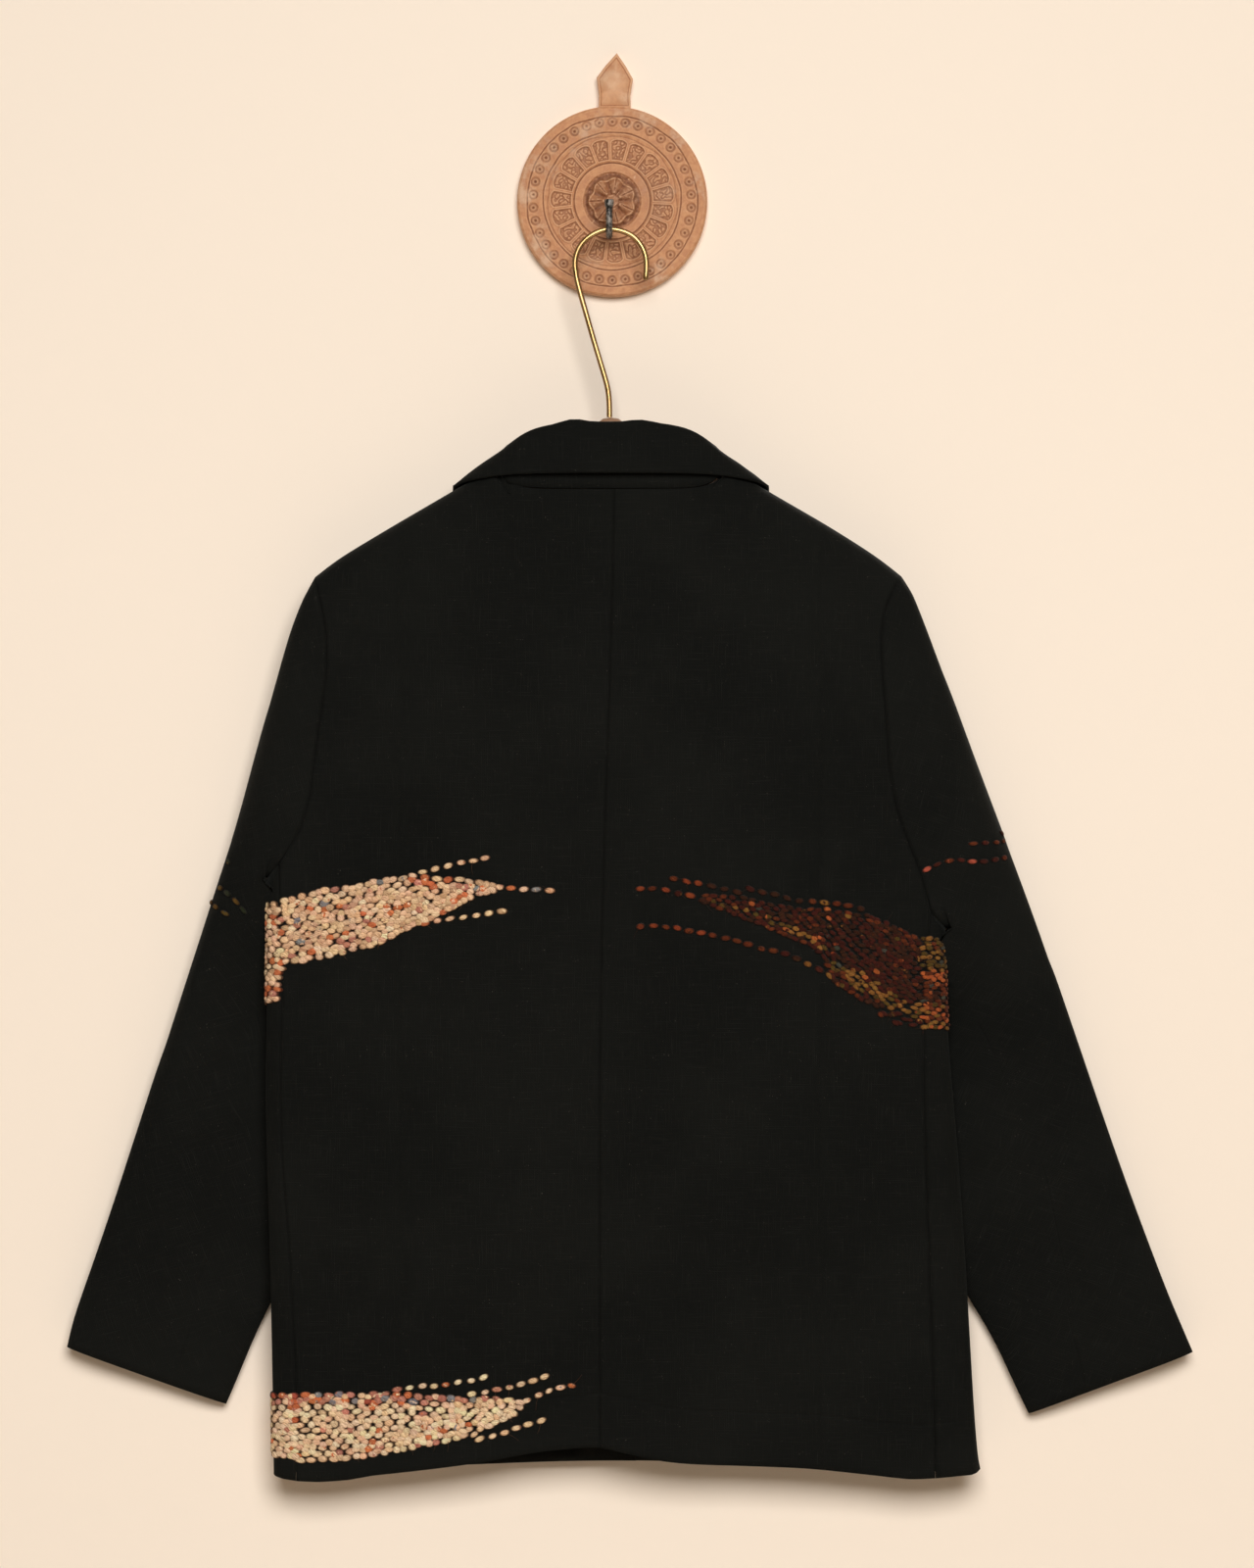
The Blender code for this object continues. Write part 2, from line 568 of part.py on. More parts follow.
def around(rows, i, k):
    """The places before, after, above and below one place of the sleeve's rows."""
    line = rows[i]
    closed = len(line) > UPPER_COUNT
    after = line[(k + 1) % len(line)] if closed or k + 1 < len(line) else line[k]
    before = line[k - 1] if closed or k > 0 else line[k]
    low = rows[min(i + 1, len(rows) - 1)][k]
    above = rows[max(i - 1, 0)]
    high = above[k] if k < len(above) else line[k]
    return before, after, high, low


def sleeve_normals(side, rows, loop):
    """Outward normals, evened so the wall turns gently, and the panels' own along the armhole."""
    head_count = len(side["head"])
    raw = []
    for i, line in enumerate(rows):
        raw.append([])
        for k in range(len(line)):
            before, after, high, low = around(rows, i, k)
            raw[i].append(((low - high).cross(after - before) * side["sign"]).normalized())
    normals = []
    for i, line in enumerate(raw):
        normals.append([(n * 2.0 + sum(around(raw, i, k), Vector())).normalized()
                        for k, n in enumerate(line)])
    half = len(UPPER_SHARES) - 1
    held = [(0, k, loop[1][1]) for k in range(half)] + [(0, half, loop[0][1])]
    held += [(0, k, loop[-1][1]) for k in range(half + 1, UPPER_COUNT)]
    for k in range(1, head_count + 1):
        held += [(k, 0, loop[k + 1][1]), (k, UPPER_COUNT - 1, loop[-k - 1][1])]
    for k, (_, n) in enumerate(loop[head_count + 2:-head_count - 1][::-1]):
        held.append((head_count, UPPER_COUNT + k, n))
    for i, k, n in held:
        share = smooth((n.dot(normals[i][k]) + PANEL_AGREES) / PANEL_AGREES)
        normals[i][k] = normals[i][k].lerp(n, share).normalized()
    return normals


def sleeve(side_name, loop):
    """A two-piece sleeve as one wall, from the armhole's own points to the cuff."""
    side = SIDES[side_name]
    head_count = len(side["head"])
    start = sleeve_rows(side, loop)
    normals = sleeve_normals(side, start, loop)
    rows = [[p.copy() for p in line] for line in start]
    for i in range(head_count + 1):
        for k, inward in ((0, 1), (UPPER_COUNT - 1, -1)):
            rows[i][k] += (start[i][k + inward] - start[i][k]).normalized() * ARMHOLE_GAP
    for k in range(UPPER_COUNT):
        rows[0][k] += (start[1][k] - start[0][k]).normalized() * ARMHOLE_GAP
    ring_count = len(rows[-1])
    for k in range(UPPER_COUNT, ring_count):
        step = start[head_count + 1][k] - start[head_count][k]
        rows[head_count][k] += step.normalized() * UNDERARM_GAP
    open_part = [None] * (ring_count - UPPER_COUNT)
    for i in range(head_count):
        rows[i] = rows[i] + open_part
        normals[i] = normals[i] + open_part
    shell(f"sleeve_{side_name}", rows, normals, CLOTH, WOOL, ring=True)


def collar():
    """One turned-over collar: each station's section runs up the stand and down the fall."""
    stations = [(-1, row) for row in reversed(COLLAR[1:])] + [(1, row) for row in COLLAR]
    middle = []
    for sign, (base_out, base_y, base_z, roll_out, roll_y, roll_z, edge_out, edge_y, edge_z) in stations:
        base = Vector((sign * base_out, base_y, base_z))
        roll = Vector((sign * roll_out, roll_y, roll_z))
        edge = Vector((sign * edge_out, edge_y, edge_z))
        fall = edge - roll
        away = Vector((fall.x, fall.y, 0.0))
        away = away.normalized() if away.length > 0.5 else Vector((0, -1, 0))
        stand_top = roll - away * 2.4 - Vector((0, 0, 4.0))
        fall_top = roll + away * 2.6 - Vector((0, 0, 3.4))
        bulge = away * 2.2
        line = [base, base.lerp(stand_top, 0.55), stand_top, roll, fall_top,
                fall_top.lerp(edge, 0.36) + bulge, fall_top.lerp(edge, 0.72) + bulge * 0.8, edge]
        middle.append(line)
    count, width = len(middle), len(middle[0])
    normals = []
    for i in range(count):
        line = []
        for j in range(width):
            along = middle[min(i + 1, count - 1)][j] - middle[max(i - 1, 0)][j]
            across = middle[i][min(j + 1, width - 1)] - middle[i][max(j - 1, 0)]
            line.append(across.cross(along).normalized())
        normals.append(line)
    outer = [[p + n * (CLOTH / 2) for p, n in zip(line, ns)] for line, ns in zip(middle, normals)]
    shell("collar", outer, normals, CLOTH, WOOL)


def lapel(side_name):
    """The front's turned-back upper edge, lying on the front's own points, moved out."""
    side = SIDES[side_name]
    points, normals = [], []
    for roll_z, edge_out, edge_z in LAPEL[:LAPEL_ROWS[side_name]]:
        roll_out = neck_front_out(roll_z) - 1.0
        line, line_normals = [], []
        for part in (0.0, 0.12, 0.4, 0.7, 1.0):
            out = roll_out + (edge_out - roll_out) * part
            z = roll_z + (edge_z - roll_z) * part
            wrap = wrap_at(side, out, z, FRONT)
            normal = body_normal(side, wrap, z)
            rise = BAND_LIFT + CLOTH + 1.2 * smooth((0.3 - part) / 0.3)
            point = body_point(side, wrap, z) + normal * rise
            point.y += lift_of(side_name, out)
            line.append(point)
            line_normals.append(normal)
        points.append(line)
        normals.append(line_normals)
    shell(f"lapel_{side_name}", points, normals, CLOTH, WOOL)


def band(name):
    """A raised field of yarn rows on one panel."""
    face, table = BANDS[name]
    side = SIDES["left" if name.endswith("left") else "right"]
    stations = [(wrap_at(side, abs(x), top, face), top, low) for x, top, low in table]
    if name in BAND_WRAPS:
        top, low = BAND_WRAPS[name]
        seam_wrap = wrap_at(side, look_up(side["seam"], top), top, BACK) + 1.0
        stations.append((QUARTER_TURN, top, low))
        stations += [(wrap, top, low) for wrap in reversed(fold_wraps(seam_wrap))]
    points, normals = [], []
    for wrap, top, low in stations:
        line, line_normals = [], []
        for row in range(BAND_ROWS):
            z = top + (low - top) * row / (BAND_ROWS - 1)
            normal = body_normal(side, wrap, z)
            line.append(body_point(side, wrap, z) + normal * (BAND_LIFT + BAND_THICK))
            line_normals.append(normal)
        points.append(line)
        normals.append(line_normals)
    colour = (0.35, 0.12, 0.04) if side["sign"] > 0 else (0.72, 0.60, 0.45)
    shell(name, points, normals, BAND_THICK, colour)


def buttons():
    side = SIDES["right"]
    for number, z in enumerate(BUTTON_ROWS, 1):
        wrap = wrap_at(side, 0.0, z, FRONT)
        face_y = body_point(side, wrap, z).y + lift_of("right", 0.0)
        y = face_y + 0.4 + BUTTON_THICK / 2
        bpy.ops.mesh.primitive_cylinder_add(
            vertices=24, radius=BUTTON_RADIUS * MM, depth=BUTTON_THICK * MM,
            location=(0, y * MM, z * MM), rotation=(math.pi / 2, 0, 0))
        obj = keep(f"button_{number}")
        bevel = obj.modifiers.new("edge", "BEVEL")
        bevel.width = 0.6 * MM
        bevel.segments = 1
        bevel.limit_method = "ANGLE"
        obj.data.set_sharp_from_angle(angle=math.radians(40))
        paint(obj, (0.02, 0.02, 0.02), 0.5)


def keep(name):
    """Names the object just made and moves it to the parts."""
    obj = bpy.context.object
    obj.name = name
    obj.data.name = name
    for collection in obj.users_collection:
        collection.objects.unlink(obj)
    PARTS.objects.link(obj)
    return obj


def smooth_route(route, between):
    """More points along a route, on a curve that passes through all of it."""
    ends = [route[0]] + list(route) + [route[-1]]
    dense = []
    for a, b, c, d in zip(ends, ends[1:], ends[2:], ends[3:]):
        for step in range(between):
            t = step / between
            dense.append((a * (-t + 2 * t * t - t ** 3) + b * (2 - 5 * t * t + 3 * t ** 3)
                          + c * (t + 4 * t * t - 3 * t ** 3) + d * (t ** 3 - t * t)) * 0.5)
    dense.append(route[-1])
    return dense


def rod(name, route, radius, colour, roughness, metallic, between=2):
    curve = bpy.data.curves.new(name, "CURVE")
    curve.dimensions = "3D"
    curve.bevel_depth = radius * MM
    curve.bevel_resolution = 2
    curve.use_fill_caps = True
    dense = smooth_route([Vector(p) for p in route], between)
    spline = curve.splines.new("POLY")
    spline.points.add(len(dense) - 1)
    for point, place in zip(spline.points, dense):
        point.co = (*(place * MM), 1.0)
    obj = bpy.data.objects.new(name, curve)
    PARTS.objects.link(obj)
    paint(obj, colour, roughness, metallic)
    return obj


def flat_piece(name, outline, half_thick, middle_y, bevel_width, colour, roughness):
    """An outline in x and z with a thickness along y and softened edges."""
    mesh = bmesh.new()
    ring = [mesh.verts.new((x * MM, (middle_y - half_thick) * MM, z * MM)) for x, z in outline]
    face = mesh.faces.new(ring)
    if face.normal.y > 0 or sum_turn(outline) > 0:
        face.normal_flip()
    moved = bmesh.ops.extrude_face_region(mesh, geom=[face])
    verts = [v for v in moved["geom"] if isinstance(v, bmesh.types.BMVert)]
    bmesh.ops.translate(mesh, vec=(0, 2 * half_thick * MM, 0), verts=verts)
    bmesh.ops.recalc_face_normals(mesh, faces=mesh.faces)
    data = bpy.data.meshes.new(name)
    mesh.to_mesh(data)
    mesh.free()
    obj = bpy.data.objects.new(name, data)
    PARTS.objects.link(obj)
    if bevel_width:
        bevel = obj.modifiers.new("edge", "BEVEL")
        bevel.width = bevel_width * MM
        bevel.segments = 2
        bevel.limit_method = "ANGLE"
        bevel.angle_limit = math.radians(50)
    paint(obj, colour, roughness)
    return obj


def sum_turn(outline):
    """Twice the outline's signed area."""
    return sum(a[0] * b[1] - b[0] * a[1] for a, b in zip(outline, outline[1:] + outline[:1]))


def hanger():
    right = HANGER_HALF
    left = [(-x, z) for x, z in reversed(HANGER_HALF[1:-1])]
    flat_piece("hanger_body", right + left, HANGER_HALF_THICK, BODY_Y, 2.6, (0.25, 0.12, 0.05), 0.5)
    route = [(x, BODY_Y, z) for x, z in WIRE_ROUTE]
    rod("hanger_hook", route, WIRE_RADIUS, (0.55, 0.38, 0.12), 0.35, 1.0)


def wall_hook():
    route = [(-1.2, y, z) for y, z in WALL_HOOK_ROUTE]
    rod("wall_hook", route, WALL_HOOK_RADIUS, (0.12, 0.11, 0.10), 0.6, 1.0, between=1)


def plaque():
    """The turned disc, its flat back on the wall, joined with the pointed finial."""
    profile = bpy.data.meshes.new("wall_plaque")
    centre_x, centre_z = PLAQUE_CENTRE
    steps = [(0.0, 0.0)] + PLAQUE_PROFILE
    verts = [(radius * MM, 0.0, height * MM) for radius, height in reversed(steps)]
    profile.from_pydata(verts, [(k, k + 1) for k in range(len(verts) - 1)], [])
    disc = bpy.data.objects.new("wall_plaque", profile)
    PARTS.objects.link(disc)
    disc.location = (centre_x * MM, 0.0, centre_z * MM)
    disc.rotation_euler = (math.pi / 2, 0.0, 0.0)
    screw = disc.modifiers.new("turn", "SCREW")
    screw.steps = 48
    screw.render_steps = 48
    screw.use_merge_vertices = True
    screw.merge_threshold = 0.00002
    screw.use_normal_calculate = False
    finial = flat_piece("wall_finial", FINIAL, FINIAL_DEPTH / 2, -FINIAL_DEPTH / 2, 1.2,
                        (0.42, 0.20, 0.11), 0.75)
    finial.name = "wall_finial"
    paint(disc, (0.42, 0.20, 0.11), 0.75)


def clear_scene():
    for obj in list(bpy.data.objects):
        bpy.data.objects.remove(obj, do_unlink=True)


clear_scene()
WOOL = (0.010, 0.010, 0.009)
PARTS = bpy.data.collections.new("kantha_blazer")
bpy.context.scene.collection.children.link(PARTS)


def build():
    for side_name in SIDES:
        back_edge = back_panel(side_name)
        front_edge = front_panel(side_name)
        top = ((back_edge[0][0] + front_edge[-1][0]) / 2, back_edge[0][1])
        sleeve(side_name, [top] + back_edge[1:] + front_edge[:-1])
        lapel(side_name)
    collar()
    for name in BANDS:
        band(name)
    buttons()
    hanger()
    wall_hook()
    plaque()


build()
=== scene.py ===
"""Looks of the kantha blazer: wool cloth, yarn running stitches, brass wire, wood and plaque."""
import math
import random

import bmesh
import bpy
import numpy as np
from mathutils import Matrix, Vector, kdtree, noise
from mathutils.bvhtree import BVHTree


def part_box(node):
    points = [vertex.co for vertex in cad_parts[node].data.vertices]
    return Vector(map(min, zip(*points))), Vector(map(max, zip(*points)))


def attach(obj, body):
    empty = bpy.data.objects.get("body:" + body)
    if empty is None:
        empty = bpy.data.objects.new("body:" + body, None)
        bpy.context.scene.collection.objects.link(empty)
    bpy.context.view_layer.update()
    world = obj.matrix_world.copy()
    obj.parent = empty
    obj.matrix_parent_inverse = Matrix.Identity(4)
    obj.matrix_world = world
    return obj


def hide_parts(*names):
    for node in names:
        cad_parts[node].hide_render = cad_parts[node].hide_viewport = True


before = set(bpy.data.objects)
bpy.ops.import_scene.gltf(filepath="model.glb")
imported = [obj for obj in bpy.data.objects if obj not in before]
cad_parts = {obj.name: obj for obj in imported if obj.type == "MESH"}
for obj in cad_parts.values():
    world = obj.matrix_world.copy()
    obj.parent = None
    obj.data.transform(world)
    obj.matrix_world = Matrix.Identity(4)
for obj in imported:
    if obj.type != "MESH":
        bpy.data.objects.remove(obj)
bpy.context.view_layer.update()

MM = 0.001
BODY_Y = -34.0
SIGN = {"left": -1.0, "right": 1.0}
# photograph to millimetres: pixel at x = 0 and at z = 0, and the size of a pixel
CENTRE_PX, TOP_PX, PIXEL = 623.5, 203.0, 0.70
FRAME_HEIGHT, FRAME_MIDDLE = 1600, (640, 800)
# the view in metres: how far it stands off, and the depth at which a pixel has its size
VIEW_DISTANCE, VIEW_DEPTH = 5.0, 0.046
SENSOR_WIDTH = 36.0
# how far behind the plaque's back the wall lies, and how far outside the coat a ray starts, in metres
WALL_GAP, RAY_START = 0.0004, 0.2


def at_px(px, py):
    """x and z in millimetres of a place in the photograph."""
    return (px - CENTRE_PX) * PIXEL, -(py - TOP_PX) * PIXEL


def smooth(t):
    t = min(max(t, 0.0), 1.0)
    return t * t * (3.0 - 2.0 * t)


def bump(distance, half_width):
    """1 on a line, falling softly to 0 at half_width from it."""
    t = abs(distance) / half_width
    return 0.5 + 0.5 * math.cos(math.pi * t) if t < 1.0 else 0.0


def read_line(line, at):
    """Linear reading of a line of (place, value) pairs."""
    return float(np.interp(at, [p[0] for p in line], [p[1] for p in line]))


def link_object(name, data):
    obj = bpy.data.objects.new(name, data)
    bpy.context.collection.objects.link(obj)
    return obj


def add_object(name, mesh):
    data = bpy.data.meshes.new(name)
    mesh.to_mesh(data)
    mesh.free()
    return link_object(name, data)


def solid(name, mesh, sharp=None):
    """A closed smooth form; edges over the sharp angle, in degrees, stay crisp."""
    bmesh.ops.recalc_face_normals(mesh, faces=mesh.faces)
    obj = add_object(name, mesh)
    obj.data.shade_smooth()
    if sharp is not None:
        obj.data.set_sharp_from_angle(angle=math.radians(sharp))
    return obj


def bridge(mesh, rings):
    """Quads from ring to ring, and a face over the first."""
    count = len(rings[0])
    for low, high in zip(rings, rings[1:]):
        for j in range(count):
            mesh.faces.new((low[j], low[(j + 1) % count], high[(j + 1) % count], high[j]))
    mesh.faces.new(rings[0][::-1])


def finish_piece(obj, node=None, material=None):
    """Gives a piece its material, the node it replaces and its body."""
    if material is not None:
        obj.data.materials.append(material)
    if node is not None:
        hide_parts(node)
    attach(obj, "root")


def store(data, name, values, kind="FLOAT", field="value"):
    """A value for each vertex, under a name."""
    data.attributes.new(name, kind, "POINT").data.foreach_set(field, values)


def surface_tree(obj):
    return BVHTree.FromObject(obj, bpy.context.evaluated_depsgraph_get())


def cast(tree, x, z, face):
    """Hit and normal, at x and z in metres, of a ray from behind the coat (-1) or before it (1)."""
    return tree.ray_cast(Vector((x, RAY_START * face, z)), Vector((0, -face, 0)))[:2]


# camera, light and stage
def camera():
    data = bpy.data.cameras.new("view")
    data.sensor_width = SENSOR_WIDTH
    data.lens = SENSOR_WIDTH * (VIEW_DISTANCE - VIEW_DEPTH) / (FRAME_HEIGHT * PIXEL * MM)
    data.clip_start, data.clip_end = 0.05, 60.0
    obj = link_object("view", data)
    x, z = at_px(*FRAME_MIDDLE)
    obj.location = (x * MM, -VIEW_DISTANCE, z * MM)
    obj.rotation_euler = (math.pi / 2, 0.0, 0.0)
    bpy.context.scene.camera = obj


def area_light(name, place, target, size, power, colour, spread=180.0):
    data = bpy.data.lights.new(name, "AREA")
    data.shape = "RECTANGLE"
    data.size, data.size_y = size
    data.energy = power
    data.color = colour
    data.spread = math.radians(spread)
    obj = link_object(name, data)
    obj.location = place
    obj.rotation_euler = (Vector(target) - Vector(place)).to_track_quat("-Z", "Y").to_euler()
    obj.visible_camera = False


def lights():
    """One wide soft light before the coat's back, a weaker one on its other side, and warm air."""
    bpy.context.scene.view_settings.view_transform = "Standard"
    world = bpy.data.worlds.new("studio")
    world.use_nodes = True
    air = world.node_tree.nodes["Background"]
    air.inputs["Color"].default_value = (1.0, 0.80, 0.56, 1.0)
    air.inputs["Strength"].default_value = 0.095
    bpy.context.scene.world = world
    area_light("key", (0.38, -4.5, 1.25), (0.0, 0.0, -0.7), (2.7, 2.0), 74.0, (1.0, 0.985, 0.97), 100.0)
    area_light("behind", (0.8, 2.6, 0.9), (0.0, -0.03, -0.45), (2.0, 2.0), 50.0, (1.0, 0.98, 0.95))


def stage():
    """A plain wall that is clear from behind and casts no shadow, and a plain floor under it."""
    for name, corners in (
            ("wall", [(-4, 0, -2.2), (4, 0, -2.2), (4, 0, 3), (-4, 0, 3)]),
            ("floor", [(-4, -5, -2.2), (4, -5, -2.2), (4, 5, -2.2), (-4, 5, -2.2)])):
        data = bpy.data.meshes.new(name)
        data.from_pydata([(x, y + WALL_GAP, z) for x, y, z in corners], [], [(0, 1, 2, 3)])
        kit = Finish(name, (0.89, 0.78, 0.66), 0.92)
        kit.bump(kit.noise(260.0, 4.0), 0.08, 0.0006)
        if name == "wall":
            behind = kit.add("ShaderNodeNewGeometry").outputs["Backfacing"]
            shadow = kit.add("ShaderNodeLightPath").outputs["Is Shadow Ray"]
            mix = kit.add("ShaderNodeMixShader", {
                "Fac": kit.maths("MAXIMUM", behind, shadow), 1: kit.shader.outputs["BSDF"],
                2: kit.add("ShaderNodeBsdfTransparent").outputs["BSDF"]})
            feed(kit.tree, kit.tree.nodes["Material Output"].inputs["Surface"], mix.outputs["Shader"])
        data.materials.append(kit.material)
        link_object(name, data)


# materials
def feed(tree, socket, value):
    """Gives an input another node's output, or a plain value."""
    if hasattr(value, "is_output"):
        tree.links.new(value, socket)
    else:
        socket.default_value = value


def add_node(tree, kind, values=None, **settings):
    node = tree.nodes.new(kind)
    for key, value in settings.items():
        setattr(node, key, value)
    for key, value in (values or {}).items():
        feed(tree, node.inputs[key], value)
    return node


def math_node(tree, operation, *values, clamp=False):
    """A Math node; each value is a socket or a number."""
    return add_node(tree, "ShaderNodeMath", dict(enumerate(values)), operation=operation,
                    use_clamp=clamp).outputs[0]


def noise_node(tree, place, scale, detail, roughness=0.5, distortion=0.0):
    return add_node(tree, "ShaderNodeTexNoise", {
        "Vector": place, "Scale": scale, "Detail": detail, "Roughness": roughness,
        "Distortion": distortion}).outputs["Fac"]


def span(tree, value, low, high, to_low=0.0, to_high=1.0):
    """Carries low to high softly over to to_low to to_high."""
    return add_node(tree, "ShaderNodeMapRange", {
        "Value": value, "From Min": low, "From Max": high, "To Min": to_low, "To Max": to_high},
        interpolation_type="SMOOTHSTEP").outputs["Result"]


class Finish:
    """A material with its Principled shader and short ways to add nodes to it."""

    def __init__(self, name, colour, roughness, metallic=0.0):
        self.material = bpy.data.materials.new(name)
        self.material.use_nodes = True
        self.tree = self.material.node_tree
        self.shader = self.tree.nodes["Principled BSDF"]
        self.set({"Base Color": (*colour, 1.0), "Roughness": roughness, "Metallic": metallic})
        self.colour = self.relief = None

    def set(self, values):
        for name, value in values.items():
            feed(self.tree, self.shader.inputs[name], value)

    def add(self, kind, values=None, **settings):
        return add_node(self.tree, kind, values, **settings)

    def place(self):
        return self.add("ShaderNodeTexCoord").outputs["Object"]

    def surface(self, name, output="Fac"):
        """What the surface holds under a name."""
        return self.add("ShaderNodeAttribute", attribute_name=name).outputs[output]

    def noise(self, scale, detail, place=None, roughness=0.5, distortion=0.0):
        place = self.place() if place is None else place
        return noise_node(self.tree, place, scale, detail, roughness, distortion)

    def maths(self, operation, *values, clamp=False):
        return math_node(self.tree, operation, *values, clamp=clamp)

    def span(self, *values):
        return span(self.tree, *values)

    def mix(self, share, a, b, blend="MIX"):
        """Colour b over colour a by a share; a colour is a socket or three numbers."""
        node = self.add("ShaderNodeMix", data_type="RGBA", blend_type=blend)
        for name, kind, value in (("Factor", "VALUE", share), ("A", "RGBA", a), ("B", "RGBA", b)):
            socket = next(s for s in node.inputs if s.name == name and s.type == kind)
            feed(self.tree, socket, (*value, 1.0) if isinstance(value, tuple) else value)
        return next(s for s in node.outputs if s.type == "RGBA")

    def paint(self, colour):
        self.colour = colour
        self.set({"Base Color": colour})

    def bump(self, height, strength, distance):
        """Fine relief on top of the relief so far."""
        values = {"Strength": strength, "Distance": distance, "Height": height}
        if self.relief is not None:
            values["Normal"] = self.relief
        self.relief = self.add("ShaderNodeBump", values).outputs["Normal"]
        self.set({"Normal": self.relief})


def weave_group():
    """Handloom weave: thread heights, slubs and pale flecks on a surface measured in metres."""
    tree = bpy.data.node_groups.new("handloom weave", "ShaderNodeTree")
    face = tree.interface
    face.new_socket("Place", in_out="INPUT", socket_type="NodeSocketVector")
    pitch = face.new_socket("Thread Pitch", in_out="INPUT", socket_type="NodeSocketFloat")
    pitch.default_value = 0.0011
    for name in ("Height", "Slub", "Fleck", "Cloud"):
        face.new_socket(name, in_out="OUTPUT", socket_type="NodeSocketFloat")
    inside = tree.nodes.new("NodeGroupInput").outputs
    place = inside["Place"]
    axes = add_node(tree, "ShaderNodeSeparateXYZ", {0: place}).outputs
    shift = math_node(tree, "MULTIPLY_ADD", noise_node(tree, place, 90.0, 2.0), 0.0012, -0.0006)
    turns = math_node(tree, "DIVIDE", 2 * math.pi, inside["Thread Pitch"])
    waves = []
    for axis in ("X", "Y"):
        moved = math_node(tree, "ADD", axes[axis], shift)
        waves.append(math_node(tree, "SINE", math_node(tree, "MULTIPLY", moved, turns)))
    slubs = []
    for stretch in ((1400.0, 42.0, 1.0), (42.0, 1400.0, 1.0)):
        spread = add_node(tree, "ShaderNodeMapping", {"Scale": stretch, "Vector": place})
        slubs.append(noise_node(tree, spread.outputs["Vector"], 1.0, 2.0, 0.6))
    dots = span(tree, noise_node(tree, place, 1250.0, 1.0), 0.70, 0.80)
    patches = span(tree, noise_node(tree, place, 130.0, 2.0), 0.52, 0.68)
    add_node(tree, "NodeGroupOutput", {
        "Height": math_node(tree, "MULTIPLY_ADD", math_node(tree, "MULTIPLY", *waves), 0.5, 0.5),
        "Slub": span(tree, math_node(tree, "MAXIMUM", *slubs), 0.52, 0.78),
        "Fleck": math_node(tree, "MULTIPLY", dots, patches),
        "Cloud": noise_node(tree, place, 9.0, 3.0)})
    return tree


def wool():
    kit = Finish("black_handloom_wool", (0.010, 0.010, 0.009), 0.86)
    weave = kit.add("ShaderNodeGroup", node_tree=weave_group())
    feed(kit.tree, weave.inputs["Place"], kit.add("ShaderNodeUVMap", uv_map="cloth").outputs["UV"])
    weave = weave.outputs
    base = kit.mix(kit.span(weave["Cloud"], 0.35, 0.65), (0.0044, 0.0047, 0.0040), (0.0060, 0.0063, 0.0053))
    for name, share, colour in (("Slub", 0.55, (0.0135, 0.0135, 0.0115)),
                                ("Fleck", 0.8, (0.20, 0.18, 0.15))):
        base = kit.mix(kit.maths("MULTIPLY", weave[name], share), base, colour)
    seam = kit.surface("seam")
    # darker along the seams: painted shade in the seam's groove
    kit.paint(kit.mix(kit.span(seam, 0.0002, 0.0018, 0.22, 0.0), base, (0.0022, 0.0022, 0.0020)))
    fold = kit.span(kit.maths("ABSOLUTE", kit.surface("hem_fold")), 0.0, 0.0022)
    kit.bump(kit.maths("MULTIPLY", kit.span(seam, 0.0, 0.0028), fold), 0.42, 0.0010)
    kit.bump(weave["Height"], 0.35, 0.0003)
    kit.bump(weave["Slub"], 0.4, 0.0003)
    kit.set({"Sheen Weight": 0.022, "Sheen Roughness": 0.5, "Sheen Tint": (0.70, 0.74, 0.66, 1.0),
             "Specular IOR Level": 0.06})
    return kit.material


